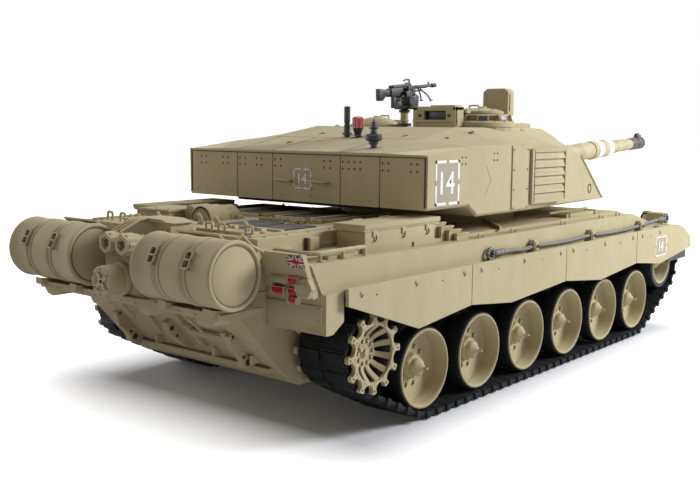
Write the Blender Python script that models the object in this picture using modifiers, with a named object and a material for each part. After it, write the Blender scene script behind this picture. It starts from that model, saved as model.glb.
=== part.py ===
"""Radio-controlled battle tank, 1/16 scale, as separate solid pieces.

Lengths below are in millimetres and become metres through MM. Places along the tank are
measured forward from the axle of the rearmost road wheel, then shifted by ORIGIN_X, so that
the origin lies under the middle of the whole tank on the ground. +X forward, +Y left, +Z up.
"""

import math

import bmesh
import bpy
from mathutils import Matrix, Vector

MM = 0.001
CLEAR = 0.3            # gap between seated pieces
BORE_CLEAR = 0.3       # radial gap between a pin and its bore

# --- widths, from the skirts inwards ---------------------------------------------------------
SKIRT_OUT = 114.0
SKIRT_THICK = 2.2
FENDER_HALF = SKIRT_OUT - 2.6
SPONSON_HALF = SKIRT_OUT - 7.0
TRACK_MID_Y = SKIRT_OUT - 23.5
TRACK_WIDTH = 40.0
HULL_HALF = TRACK_MID_Y - TRACK_WIDTH / 2 - 2.5

# --- running gear ---------------------------------------------------------------------------
WHEEL_COUNT = 6
WHEEL_SPACING = 59.8
WHEEL_R = 24.8
WHEEL_SIDES = 12
WHEEL_WIDTH = 31.0
TYRE_THICK = 2.4
WHEEL_GROOVE = 8.0
WHEEL_GROOVE_DEPTH = 7.0
HUB_R = 6.2
AXLE_R = 2.0
AXLE_STOP = 8.0
CAP_RECESS = 5.5
DISH_DEPTH = 11.0
PITCH = 10.5
TEETH = 12
PIN_THICK = 2.2
PIN_LENGTH = 2.6
PAD_RISE = 1.8
HORN_WIDTH = 5.0
HORN_RISE = 5.0
HORN_EVERY = 4
PIN_REACH = 3.6
SPROCKET_X = -53.5
SPROCKET_Z = 48.8
IDLER_X = 353.5
IDLER_Z = 54.6
IDLER_R = 22.0
ROLLER_R = 4.0
ROLLER_X = (30.0, 150.0, 270.0)
DRUM_GROOVE = 8.0
DRUM_GROOVE_DEPTH = 3.4
TOOTH_TIP_R = 22.3
TOOTH_ROOT_R = 17.4
TOOTH_ROOT_W = 6.6
TOOTH_TIP_W = 3.0
SPROCKET_RING = 2.6
SPROCKET_HUB_R = 8.4
HUB_RECESS = 9.0
SHAFT_R = 2.5
ARM_LENGTH = 24.0
ARM_REST_DEG = 32.0
ARM_THICK = 4.4
ARM_R = 5.0
PIVOT_R = 2.5

# --- hull -----------------------------------------------------------------------------------
WALL = 2.4
PARTING_Z = 84.0
BELLY_Z = 27.0
DECK_TOP = 103.5
PLATE_HALF = SPONSON_HALF - 11.0
ENGINE_DECK_TOP = 112.6
GLACIS_TOP = (285.5, 102.9)
GLACIS_LEAN = math.atan2(34.7, 105.0)
ENGINE_DECK_HALF = 75.0
BIN_OUT = SPONSON_HALF - 9.0
SPONSON_TOP = 101.5
BOX_REAR = -93.4
BOX_FRONT = -79.5
BOX_BOTTOM = 65.0
DRUM_X = -133.0
DRUM_Z = 97.9
DRUM_R = 17.65
DRUM_INNER = 26.4
DRUM_OUTER = 86.7
STRAP_RISE = 0.5
BEAM_HALF = 88.0
RAIL_R = 0.9
STEP_RIBS = 4
HATCH_X = 312.0
CABLE_Y = SPONSON_HALF + 2.2
CABLE_Z = 91.2
CABLE_R = 1.2
CABLE_LIFT = 2.2
EYE_R = 4.4
CLIP_X = (119.5, 205.5, 295.0)
DOOR_REAR = 20.0
DOOR_FRONT = 120.0
DOOR_HALF = 32.0
HOOK_Y = 47.0
HOOK_THICK = 4.4
GEARBOX_OUT = HULL_HALF - WALL - 0.8

# --- turret ---------------------------------------------------------------------------------
RING_X = 150.0
RING_R = 58.0
RING_WALL = 3.0
RING_BOSS_R = 66.0
RING_BOSS_TOP = 112.3
BASE_LOW = 115.1
BASE_THICK = 2.0
ROOF_Z = 169.8
TRUNNION_X = 275.0
TRUNNION_Z = 139.0
TRUNNION_R = 3.0
GUN_ELEVATION = 3.2
MUZZLE_REACH = 273.0
MUZZLE_COLLAR = 27.0
LOUVRES = 6
LOUVRE_STEP = 5.3
PANEL_SPLITS = (54.6, 21.4, -37.0, -68.0)
SLOT_HALF = 20.0
CUPOLA_X = 153.0
CUPOLA_Y = -42.0
CUPOLA_R = 26.5
HATCH_R = 18.3
LUG_R = 1.4
LOADER_X = 146.0
LOADER_Y = 46.0
SIGHT_X = 190.0
SIGHT_Y = -36.5
POST_X = 144.0
POST_Y = 18.5
GUN_PIVOT_Z = 196.5
STUB_X = 50.0
STUB_Y = -3.0
DOME_Y = -12.5
AERIAL_X = 17.0
AERIAL_Y = -52.0

ORIGIN_X = 198.7
SIDES = (("right", -1), ("left", 1))

SAND = (0.47, 0.41, 0.26)
DARK = (0.020, 0.021, 0.023)
STEEL = (0.10, 0.10, 0.11)


def at(x, y, z):
    """World place in metres of a point given in the tank's millimetres."""
    return Vector(((x - ORIGIN_X) * MM, y * MM, z * MM))


# --- scene and shape helpers ----------------------------------------------------------------

def clear_scene():
    for obj in list(bpy.data.objects):
        bpy.data.objects.remove(obj, do_unlink=True)


def new_collection(name):
    collection = bpy.data.collections.new(name)
    bpy.context.scene.collection.children.link(collection)
    return collection


def make_material(name, colour, roughness, metallic=0.0):
    material = bpy.data.materials.new(name)
    material.use_nodes = True
    shader = material.node_tree.nodes["Principled BSDF"]
    shader.inputs["Base Color"].default_value = (*colour, 1.0)
    shader.inputs["Roughness"].default_value = roughness
    shader.inputs["Metallic"].default_value = metallic
    return material


def add_object(name, mesh, place=None):
    obj = bpy.data.objects.new(name, mesh)
    PARTS.objects.link(obj)
    if place is not None:
        obj.location = place
    return obj


def finish(obj, material):
    """Give a piece its own material and smooth its round faces."""
    obj.data.materials.clear()
    obj.data.materials.append(MATERIALS[material].copy())
    obj.data.materials[0].name = obj.name + "_" + material
    obj.data.shade_smooth()
    obj.data.set_sharp_from_angle(angle=math.radians(35))
    return obj


def hide_helper(obj):
    PARTS.objects.unlink(obj)
    HELPERS.objects.link(obj)
    obj.hide_render = True
    obj.display_type = "WIRE"


def combine(obj, other, operation):
    """Add a Boolean of another piece, which becomes a hidden helper."""
    hide_helper(other)
    modifier = obj.modifiers.new(other.name, "BOOLEAN")
    modifier.operation = operation
    modifier.object = other
    modifier.solver = "EXACT"
    return obj


def union(obj, *others):
    for other in others:
        combine(obj, other, "UNION")
    return obj


def cut(obj, *others):
    for other in others:
        combine(obj, other, "DIFFERENCE")
    return obj


def apply_shape(obj):
    """Bake the modifiers into the mesh and keep the object's place."""
    graph = bpy.context.evaluated_depsgraph_get()
    graph.update()
    mesh = bpy.data.meshes.new_from_object(obj.evaluated_get(graph))
    obj.modifiers.clear()
    obj.data = mesh
    return obj


def block(name, low, high):
    """Box between two corners, given in the tank's millimetres."""
    middle = [(a + b) / 2 for a, b in zip(low, high)]
    size = [(b - a) * MM for a, b in zip(low, high)]
    bm = bmesh.new()
    bmesh.ops.create_cube(bm, size=1.0, matrix=Matrix.Diagonal((*size, 1.0)))
    mesh = bpy.data.meshes.new(name)
    bm.to_mesh(mesh)
    bm.free()
    return add_object(name, mesh, at(*middle))


def turned_by(axis):
    """Rotation that lays a piece made along Z onto X or Y."""
    if axis == "X":
        return Matrix.Rotation(math.pi / 2, 4, "Y")
    if axis == "Y":
        return Matrix.Rotation(-math.pi / 2, 4, "X")
    return Matrix.Identity(4)


def rod(name, centre, radius, length, axis="Z", sides=16, end_radius=None):
    """Cylinder or cone with its middle at centre, its second end towards +axis."""
    bm = bmesh.new()
    bmesh.ops.create_cone(
        bm,
        cap_ends=True,
        segments=sides,
        radius1=radius * MM,
        radius2=(radius if end_radius is None else end_radius) * MM,
        depth=length * MM,
        matrix=turned_by(axis),
    )
    mesh = bpy.data.meshes.new(name)
    bm.to_mesh(mesh)
    bm.free()
    return add_object(name, mesh, at(*centre))


def turned(name, centre, profile, axis="Z", sides=24, ring=False):
    """Body turned from (radius, height) points that run down the outer side.

    A ring's profile is closed, another profile starts and ends on the axis.
    """
    bm = bmesh.new()
    points = [bm.verts.new((r * MM, 0.0, h * MM)) for r, h in profile]
    for first, second in zip(points, points[1:]):
        bm.edges.new((first, second))
    if ring:
        bm.edges.new((points[-1], points[0]))
    mesh = bpy.data.meshes.new(name)
    bm.to_mesh(mesh)
    bm.free()
    obj = add_object(name, mesh, at(*centre))
    obj.rotation_euler = turned_by(axis).to_euler()
    screw = obj.modifiers.new("Turn", "SCREW")
    screw.steps = sides
    screw.render_steps = sides
    screw.use_merge_vertices = True
    screw.merge_threshold = 0.00002
    screw.use_smooth_shade = False
    return apply_shape(obj)


def extruded(name, outline, low, high, plane="XZ"):
    """Flat outline pushed between two levels. XZ outlines run along Y, XY along Z, YZ along X."""
    curve = bpy.data.curves.new(name, "CURVE")
    curve.dimensions = "2D"
    curve.fill_mode = "BOTH"
    curve.extrude = (high - low) / 2 * MM
    spline = curve.splines.new("POLY")
    spline.points.add(len(outline) - 1)
    for point, (a, b) in zip(spline.points, outline):
        point.co = (a * MM, b * MM, 0.0, 1.0)
    spline.use_cyclic_u = True
    drawn = bpy.data.objects.new(name + "_outline", curve)
    bpy.context.scene.collection.objects.link(drawn)
    graph = bpy.context.evaluated_depsgraph_get()
    graph.update()
    mesh = bpy.data.meshes.new_from_object(drawn.evaluated_get(graph))
    bpy.data.objects.remove(drawn, do_unlink=True)
    level = (low + high) / 2 * MM
    if plane == "XZ":
        lay = Matrix.Translation((-ORIGIN_X * MM, level, 0.0)) @ Matrix.Rotation(math.pi / 2, 4, "X")
    elif plane == "YZ":
        turn = Matrix(((0, 0, 1, 0), (1, 0, 0, 0), (0, 1, 0, 0), (0, 0, 0, 1)))
        lay = Matrix.Translation((level - ORIGIN_X * MM, 0.0, 0.0)) @ turn
    else:
        lay = Matrix.Translation((-ORIGIN_X * MM, 0.0, level))
    mesh.transform(lay)
    tidy_mesh(mesh)
    mesh.name = name
    return add_object(name, mesh)


def tidy_mesh(mesh, flat=True):
    bm = bmesh.new()
    bm.from_mesh(mesh)
    bmesh.ops.remove_doubles(bm, verts=bm.verts, dist=0.00001)
    if flat:
        bmesh.ops.dissolve_limit(bm, angle_limit=math.radians(0.5), verts=bm.verts, edges=bm.edges)
    bmesh.ops.recalc_face_normals(bm, faces=bm.faces)
    bm.to_mesh(mesh)
    bm.free()


def lofted(name, sections):
    """Solid through sections along X, each a list of (x, y, z) points in the same order."""
    bm = bmesh.new()
    rows = [[bm.verts.new(at(*point)) for point in section] for section in sections]
    for row, following in zip(rows, rows[1:]):
        for i in range(len(row)):
            j = (i + 1) % len(row)
            bm.faces.new((row[i], row[j], following[j], following[i]))
    bm.faces.new(rows[0])
    bm.faces.new(rows[-1])
    bmesh.ops.triangulate(bm, faces=[f for f in bm.faces if len(f.verts) == 4], quad_method="BEAUTY")
    bmesh.ops.recalc_face_normals(bm, faces=bm.faces)
    mesh = bpy.data.meshes.new(name)
    bm.to_mesh(mesh)
    bm.free()
    return add_object(name, mesh)


def both_sides(half_section):
    """Full section from the right half's points, which run from the bottom to the top."""
    mirrored = [(x, -y, z) for x, y, z in reversed(half_section)]
    return half_section + mirrored


def tube_along(name, points, radius, resolution=2):
    """Round wire along points in the tank's millimetres, as a closed mesh."""
    curve = bpy.data.curves.new(name, "CURVE")
    curve.dimensions = "3D"
    curve.bevel_depth = radius * MM
    curve.bevel_resolution = resolution
    curve.use_fill_caps = True
    spline = curve.splines.new("POLY")
    spline.points.add(len(points) - 1)
    for point, place in zip(spline.points, points):
        point.co = (*at(*place), 1.0)
    drawn = bpy.data.objects.new(name + "_path", curve)
    bpy.context.scene.collection.objects.link(drawn)
    graph = bpy.context.evaluated_depsgraph_get()
    graph.update()
    mesh = bpy.data.meshes.new_from_object(drawn.evaluated_get(graph))
    bpy.data.objects.remove(drawn, do_unlink=True)
    tidy_mesh(mesh, flat=False)
    mesh.name = name
    return add_object(name, mesh)


def turn_about(obj, centre, axis, degrees):
    """Turn an object's mesh about a world axis through a point in the tank's millimetres."""
    bpy.context.view_layer.update()
    pivot = at(*centre)
    spin = Matrix.Rotation(math.radians(degrees), 4, axis)
    obj.matrix_world = Matrix.Translation(pivot) @ spin @ Matrix.Translation(-pivot) @ obj.matrix_world
    return obj


def set_origin(obj, place):
    """Move the origin of a piece onto its joint axis without moving its shape."""
    bpy.context.view_layer.update()
    target = at(*place)
    shift = obj.matrix_world.inverted() @ target
    obj.data.transform(Matrix.Translation(-shift))
    obj.matrix_world = obj.matrix_world @ Matrix.Translation(shift)
    return obj


# --- tracks ---------------------------------------------------------------------------------

def pitch_radius():
    return PITCH / (2 * math.sin(math.pi / TEETH))


def belt_offset(radius):
    """Distance from a wheel's face to the pins, so that a flat link between two pins clears it."""
    return math.hypot(radius + PIN_THICK / 2 + CLEAR, PITCH / 2) - radius


def ground_pin_z():
    return PAD_RISE + PIN_THICK / 2


def wheel_z():
    return ground_pin_z() + belt_offset(WHEEL_R) + WHEEL_R


def track_circles():
    """Circles that the pin line wraps, as (x, z, radius): under the wheels, up, and back on top."""
    last = (WHEEL_COUNT - 1) * WHEEL_SPACING
    wrap = WHEEL_R + belt_offset(WHEEL_R)
    return [
        (SPROCKET_X, SPROCKET_Z, pitch_radius()),
        (0.0, wheel_z(), wrap),
        (last, wheel_z(), wrap),
        (IDLER_X, IDLER_Z, IDLER_R + belt_offset(IDLER_R)),
    ]


def outer_tangent(first, second):
    """Tangent points of a belt that runs from one circle to the next with both on its left."""
    (x0, z0, r0), (x1, z1, r1) = first, second
    dx, dz = x1 - x0, z1 - z0
    distance = math.hypot(dx, dz)
    heading = math.atan2(dz, dx)
    lean = math.asin((r0 - r1) / distance)
    normal = heading - math.pi / 2 + lean
    out = (math.cos(normal), math.sin(normal))
    return (x0 + r0 * out[0], z0 + r0 * out[1]), (x1 + r1 * out[0], z1 + r1 * out[1])


def track_path():
    """Closed pin line as a fine polyline, starting where it leaves the sprocket at the bottom."""
    circles = track_circles()
    points = []
    for i, circle in enumerate(circles):
        arriving = outer_tangent(circles[i - 1], circle)[1]
        leaving = outer_tangent(circle, circles[(i + 1) % len(circles)])[0]
        x, z, _ = circle
        start = math.atan2(arriving[1] - z, arriving[0] - x)
        sweep = (math.atan2(leaving[1] - z, leaving[0] - x) - start) % (2 * math.pi)
        radius = math.hypot(arriving[0] - x, arriving[1] - z)
        steps = max(2, int(sweep / 0.02))
        for k in range(steps + 1):
            angle = start + sweep * k / steps
            points.append((x + radius * math.cos(angle), z + radius * math.sin(angle)))
    return points


def pin_places():
    """Pins one pitch apart round the loop; round the sprocket each sits between two teeth."""
    path = track_path()
    closed = path + path[:1]
    lengths = [0.0]
    for (x0, z0), (x1, z1) in zip(closed, closed[1:]):
        lengths.append(lengths[-1] + math.hypot(x1 - x0, z1 - z0))
    total = lengths[-1]
    count = HORN_EVERY * round(total / PITCH / HORN_EVERY)
    wrap = [i for i, p in enumerate(path) if p[0] < SPROCKET_X - pitch_radius() * 0.999]
    anchor = lengths[wrap[len(wrap) // 2]] if wrap else 0.0
    places = []
    for k in range(count):
        target = (anchor + (k + 0.5) * total / count) % total
        i = max(j for j in range(len(lengths) - 1) if lengths[j] <= target)
        part = (target - lengths[i]) / max(lengths[i + 1] - lengths[i], 1e-9)
        (x0, z0), (x1, z1) = closed[i], closed[i + 1]
        places.append((x0 + (x1 - x0) * part, z0 + (z1 - z0) * part))
    return places


def top_run_z(x):
    """Height of the pin line over a place on its upper run."""
    circles = track_circles()
    (x0, z0), (x1, z1) = outer_tangent(circles[3], circles[0])
    return z0 + (z1 - z0) * (x - x0) / (x1 - x0)


def link_planes(pins):
    """Planes across the loop, two to a pin, each as its place and the direction into the loop."""
    planes = []
    for i, here in enumerate(pins):
        before, after = pins[i - 1], pins[(i + 1) % len(pins)]
        for toward, turn in ((before, -1), (after, 1)):
            step = Vector((toward[0] - here[0], toward[1] - here[1])).normalized()
            along = step * turn
            planes.append((Vector(here) + step * PIN_LENGTH / 2, Vector((-along[1], along[0]))))
    return planes


def by_sprocket(pin):
    """True where the teeth sweep past a pin, whose ends stop short of the toothed rings there."""
    reach = TOOTH_TIP_R + PIN_LENGTH / 2 + CLEAR
    return math.hypot(pin[0] - SPROCKET_X, pin[1] - SPROCKET_Z) < reach


def make_track(side, sign):
    """One loop of links: wide pin bars a pitch apart, pads between them, horns on some pads."""
    pins = pin_places()
    planes = link_planes(pins)
    half = TRACK_WIDTH / 2
    across = (-half, PIN_REACH - half, -HORN_WIDTH / 2, HORN_WIDTH / 2, half - PIN_REACH, half)
    high = PIN_THICK / 2
    low = -high
    pad = low - PAD_RISE
    top = high + HORN_RISE
    bm = bmesh.new()
    made = {}

    def vert(plane, column, level):
        key = (plane % len(planes), column, level)
        if key not in made:
            place, inward = planes[key[0]]
            spot = place + inward * level
            made[key] = bm.verts.new(at(spot[0], sign * TRACK_MID_Y + across[column], spot[1]))
        return made[key]

    def face(*corners):
        bm.faces.new([vert(*corner) for corner in corners])

    for a in range(0, len(planes), 2):
        b, c = a + 1, a + 2
        horned = (a // 2) % HORN_EVERY == 0
        after_horn = (a // 2) % HORN_EVERY == 1
        ends = (1, 4) if by_sprocket(pins[a // 2]) else (0, 1, 4, 5)
        columns_a = [k for k in range(6) if k in ends or (after_horn and k in (2, 3))]
        columns_b = [k for k in range(6) if k in ends or (horned and k in (2, 3))]
        face(*[(a, k, high) for k in columns_a], *[(b, k, high) for k in reversed(columns_b)])
        face(*[(a, k, low) for k in ends], *[(b, k, low) for k in reversed(ends)])
        for end, inner in ((ends[0], 1), (ends[-1], 4)):
            face((a, end, low), (a, end, high), (b, end, high), (b, end, low))
            if end != inner:
                for plane in (a, b):
                    face((plane, end, low), (plane, inner, low), (plane, inner, high), (plane, end, high))
            face((b, inner, high), (b, inner, low), (b, inner, pad),
                 (c, inner, pad), (c, inner, low), (c, inner, high))
        face((b, 1, pad), (b, 4, pad), (c, 4, pad), (c, 1, pad))
        for plane in (b, c):
            face((plane, 1, low), (plane, 4, low), (plane, 4, pad), (plane, 1, pad))
        if not horned:
            face((b, 1, high), (b, 4, high), (c, 4, high), (c, 1, high))
            continue
        face((b, 1, high), (b, 2, high), (c, 2, high), (c, 1, high))
        face((b, 3, high), (b, 4, high), (c, 4, high), (c, 3, high))
        face((b, 2, top), (b, 3, top), (c, 3, top), (c, 2, top))
        for plane in (b, c):
            face((plane, 2, high), (plane, 3, high), (plane, 3, top), (plane, 2, top))
        for column in (2, 3):
            face((b, column, high), (c, column, high), (c, column, top), (b, column, top))
    bmesh.ops.recalc_face_normals(bm, faces=bm.faces)
    mesh = bpy.data.meshes.new("track_" + side)
    bm.to_mesh(mesh)
    bm.free()
    return finish(add_object("track_" + side, mesh), "track_black")


# --- wheels, sprockets and arms -------------------------------------------------------------

def make_wheel(side, sign, index):
    """Twin dished wheel with a groove for the guide horns and a bore for its stub axle."""
    half = WHEEL_WIDTH / 2
    groove = WHEEL_GROOVE / 2
    rim = WHEEL_R - TYRE_THICK
    bore = AXLE_R + BORE_CLEAR
    profile = [
        (0.0, half - CAP_RECESS),
        (HUB_R, half - CAP_RECESS),
        (HUB_R, half - DISH_DEPTH),
        (rim - 2.2, half - DISH_DEPTH),
        (rim - 0.8, half),
        (WHEEL_R, half),
        (WHEEL_R, groove),
        (WHEEL_R - WHEEL_GROOVE_DEPTH, groove),
        (WHEEL_R - WHEEL_GROOVE_DEPTH, -groove),
        (WHEEL_R, -groove),
        (WHEEL_R, -half),
        (bore, -half),
        (bore, half - AXLE_STOP),
        (0.0, half - AXLE_STOP),
    ]
    name = f"road_wheel_{side}_{index + 1}"
    centre = (index * WHEEL_SPACING, sign * TRACK_MID_Y, wheel_z())
    wheel = turned(name, centre, profile, "Z", WHEEL_SIDES)
    wheel.rotation_euler = (math.radians(-90 * sign), 0.0, 0.0)
    return finish(wheel, "sand")


def make_idler(side, sign):
    half = WHEEL_WIDTH / 2
    groove = WHEEL_GROOVE / 2
    bore = AXLE_R + BORE_CLEAR
    profile = [
        (0.0, half - CAP_RECESS),
        (HUB_R, half - CAP_RECESS),
        (HUB_R, half - DISH_DEPTH),
        (IDLER_R - 6.2, half - DISH_DEPTH),
        (IDLER_R - 5.0, half),
        (IDLER_R, half),
        (IDLER_R, groove),
        (IDLER_R - WHEEL_GROOVE_DEPTH, groove),
        (IDLER_R - WHEEL_GROOVE_DEPTH, -groove),
        (IDLER_R, -groove),
        (IDLER_R, -half),
        (bore, -half),
        (bore, half - AXLE_STOP),
        (0.0, half - AXLE_STOP),
    ]
    centre = (IDLER_X, sign * TRACK_MID_Y, IDLER_Z)
    idler = turned("idler_" + side, centre, profile, "Z", WHEEL_SIDES)
    idler.rotation_euler = (math.radians(-90 * sign), 0.0, 0.0)
    return finish(idler, "sand")


def tooth_outline():
    """Outline of a toothed ring; each tooth stands midway between two pins."""
    points = []
    for k in range(TEETH):
        middle = math.pi + 2 * math.pi * k / TEETH
        for radius, width in (
            (TOOTH_ROOT_R, -TOOTH_ROOT_W),
            (TOOTH_TIP_R, -TOOTH_TIP_W),
            (TOOTH_TIP_R, TOOTH_TIP_W),
            (TOOTH_ROOT_R, TOOTH_ROOT_W),
        ):
            angle = middle + width / 2 / radius
            points.append((SPROCKET_X + radius * math.cos(angle), SPROCKET_Z + radius * math.sin(angle)))
    return points


def make_sprocket(side, sign):
    """Two toothed rings on a spoked drum, with the shaft that goes into the gearbox."""
    half = TRACK_WIDTH / 2
    outer = half - 0.4
    name = "sprocket_" + side
    centre = (SPROCKET_X, sign * TRACK_MID_Y, SPROCKET_Z)
    drum_r = TOOTH_ROOT_R - 1.2
    profile = [
        (0.0, outer - HUB_RECESS),
        (SPROCKET_HUB_R, outer - HUB_RECESS),
        (SPROCKET_HUB_R, outer - HUB_RECESS - 1.6),
        (drum_r - 2.4, outer - 2.4),
        (drum_r, outer - 2.4),
        (drum_r, DRUM_GROOVE / 2),
        (drum_r - DRUM_GROOVE_DEPTH, DRUM_GROOVE / 2),
        (drum_r - DRUM_GROOVE_DEPTH, -DRUM_GROOVE / 2),
        (drum_r, -DRUM_GROOVE / 2),
        (drum_r, -half + 2.0),
        (drum_r - 2.4, -half + 2.0),
        (7.0, -half + 6.0),
        (0.0, -half + 6.0),
    ]
    drum = turned(name, centre, profile, "Z", TEETH)
    drum.rotation_euler = (math.radians(-90 * sign), 0.0, 0.0)
    mid = sign * TRACK_MID_Y
    low = mid + sign * outer
    near = mid + sign * (outer - SPROCKET_RING)
    ring_out = extruded(name + "_ring_out", tooth_outline(), min(low, near), max(low, near))
    cut(ring_out, rod(name + "_eye", (SPROCKET_X, low, SPROCKET_Z), drum_r - 1.2, 12, "Y", TEETH))
    far_out = mid - sign * outer
    far_in = mid - sign * (outer - SPROCKET_RING)
    ring_in = extruded(name + "_ring_in", tooth_outline(), min(far_out, far_in), max(far_out, far_in))
    cut(ring_in, rod(name + "_back_eye", (SPROCKET_X, far_out, SPROCKET_Z), drum_r - 1.2, 12, "Y", TEETH))
    hull_face = sign * HULL_HALF
    reach = abs(mid) - HULL_HALF + WALL + 7.0
    shaft_mid = mid - sign * reach / 2
    shaft = rod(name + "_shaft", (SPROCKET_X, shaft_mid, SPROCKET_Z), SHAFT_R, reach, "Y", 12)
    union(drum, ring_out, ring_in, shaft)
    return finish(drum, "sand")


def arm_pivot(index):
    angle = math.radians(ARM_REST_DEG)
    return (
        index * WHEEL_SPACING + ARM_LENGTH * math.cos(angle),
        wheel_z() + ARM_LENGTH * math.sin(angle),
    )


def make_arm(side, sign, index):
    """Trailing arm: a bar between a pivot pin in the hull wall and a stub axle in the wheel."""
    name = f"swing_arm_{side}_{index + 1}"
    x, z = index * WHEEL_SPACING, wheel_z()
    px, pz = arm_pivot(index)
    inner = HULL_HALF + CLEAR
    outer = inner + ARM_THICK
    mid = sign * (inner + outer) / 2
    heading = math.atan2(pz - z, px - x)
    outline = []
    for centre, start in (((px, pz), heading - math.pi / 2), ((x, z), heading + math.pi / 2)):
        for k in range(4):
            angle = start + math.pi * k / 3
            outline.append((centre[0] + ARM_R * math.cos(angle), centre[1] + ARM_R * math.sin(angle)))
    arm = extruded(name, outline, min(sign * inner, sign * outer), max(sign * inner, sign * outer))
    tip = TRACK_MID_Y + WHEEL_WIDTH / 2 - AXLE_STOP - CLEAR
    axle_low, axle_high = inner + 1.0, tip
    axle = rod(name + "_axle", (x, sign * (axle_low + axle_high) / 2, z), AXLE_R, axle_high - axle_low, "Y", 6)
    pin_low, pin_high = HULL_HALF - WALL - 1.0, inner + 2.0
    pin = rod(name + "_pin", (px, sign * (pin_low + pin_high) / 2, pz), PIVOT_R, pin_high - pin_low, "Y", 8)
    union(arm, axle, pin)
    apply_shape(arm)
    set_origin(arm, (px, sign * inner, pz))
    return finish(arm, "dark_metal")


# --- hull -----------------------------------------------------------------------------------

def mirrored_block(name, side, sign, low, high):
    """Block on one side, from the place it has on the left."""
    (x0, y0, z0), (x1, y1, z1) = low, high
    near, far = sorted((sign * y0, sign * y1))
    return block(f"{name}_{side}", (x0, near, z0), (x1, far, z1))


def side_plate(name, side, sign, outline, inner, outer):
    near, far = sorted((sign * inner, sign * outer))
    return extruded(f"{name}_{side}", outline, near, far)


def make_tub():
    """Lower hull: open tub with bores for shafts and pivots, idler axles and the drum beam."""
    shape = [
        (-104, PARTING_Z - CLEAR), (-118, 76.5), (-82, 37), (-68, BELLY_Z), (318, BELLY_Z),
        (388, 58), (388, 65.5), (335, PARTING_Z - CLEAR),
    ]
    room = [
        (-101.5, 95), (-101.5, 81.5), (-114.2, 75.3), (-80, 38.2), (-66.9, BELLY_Z + WALL),
        (317.5, BELLY_Z + WALL), (388 - WALL, 59.6), (388 - WALL, 95),
    ]
    tub = extruded("hull_tub", shape, -HULL_HALF, HULL_HALF)
    union(tub, block("tub_beam", (-136, -BEAM_HALF, 74.5), (-105, BEAM_HALF, 77.5)))
    union(tub, block("tub_frame", (-134, -16, 77), (-120, 16, 103)))
    union(tub, rod("tub_pintle", (-140.5, 0, 87.7), 8.0, 15, "X", 16))
    for side, sign in SIDES:
        union(tub, rod(f"tub_coupling_{side}", (-135, sign * 7, 107), 6.2, 8, "X", 6))
        for i, y in enumerate((36, 70)):
            union(tub, mirrored_block(f"tub_cradle_{i}", side, sign, (-140, y, 77), (-126, y + 6, 84)))
        length = DRUM_OUTER - DRUM_INNER + 4
        middle = sign * (DRUM_OUTER + DRUM_INNER) / 2
        cut(tub, rod(f"tub_drum_seat_{side}", (DRUM_X, middle, DRUM_Z), DRUM_R + STRAP_RISE + CLEAR, length, "Y", 20))
        axle_tip = TRACK_MID_Y + WHEEL_WIDTH / 2 - AXLE_STOP - CLEAR
        middle = sign * (HULL_HALF - 1 + axle_tip) / 2
        union(tub, rod(f"tub_axle_{side}", (IDLER_X, middle, IDLER_Z), AXLE_R, axle_tip - HULL_HALF + 1, "Y", 10))
        for i, x in enumerate(ROLLER_X):
            z = top_run_z(x) - PIN_THICK / 2 - CLEAR - ROLLER_R - HORN_RISE / 10
            union(tub, rod(f"tub_roller_{side}_{i}", (x, sign * (HULL_HALF + 8), z), ROLLER_R, 17, "Y", 8))
    hook = [(-98, 60), (-109, 58), (-111, 50), (-104, 45), (-101, 38), (-92, 35.5), (-84, 41), (-90, 47)]
    for side, sign in SIDES:
        union(tub, side_plate("tub_hook", side, sign, hook, HOOK_Y, HOOK_Y + HOOK_THICK))
        cut(tub, rod(f"tub_hook_eye_{side}", (-96.5, sign * (HOOK_Y + 2), 41.5), 2.0, 10, "Y", 8))
    lug = [(-100, 61), (-113, 59), (-112, 52), (-98, 43), (-86, 43)]
    union(tub, extruded("tub_lug", lug, -HOOK_THICK / 2, HOOK_THICK / 2))
    cut(tub, rod("tub_lug_hole", (-108, 0, 55.5), 1.7, 10, "Y", 8))
    union(tub, block("tub_lip", (-86.5, -HULL_HALF + 6, 36), (-78, HULL_HALF - 6, 38.4)))
    union(tub, block("tub_bar", (-108, -50, 54.5), (-98, -16, 57)))
    cut(tub, extruded("tub_room", room, WALL - HULL_HALF, HULL_HALF - WALL))
    across = 2 * HULL_HALF + 10
    cut(tub, rod("tub_shaft_bore", (SPROCKET_X, 0, SPROCKET_Z), SHAFT_R + BORE_CLEAR, across, "Y", 12))
    for index in range(WHEEL_COUNT):
        x, z = arm_pivot(index)
        cut(tub, rod(f"tub_pivot_bore_{index}", (x, 0, z), PIVOT_R + BORE_CLEAR, across, "Y", 8))
    cut(tub, block("tub_door_opening", (DOOR_REAR, -DOOR_HALF, 20), (DOOR_FRONT, DOOR_HALF, 40)))
    cut(tub, block("tub_switch_slot", (-33.6, -2.3, 20), (-23, 2.3, 40)))
    return finish(tub, "sand")


def glacis_z(x):
    return GLACIS_TOP[1] - (x - GLACIS_TOP[0]) * math.tan(GLACIS_LEAN)


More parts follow.
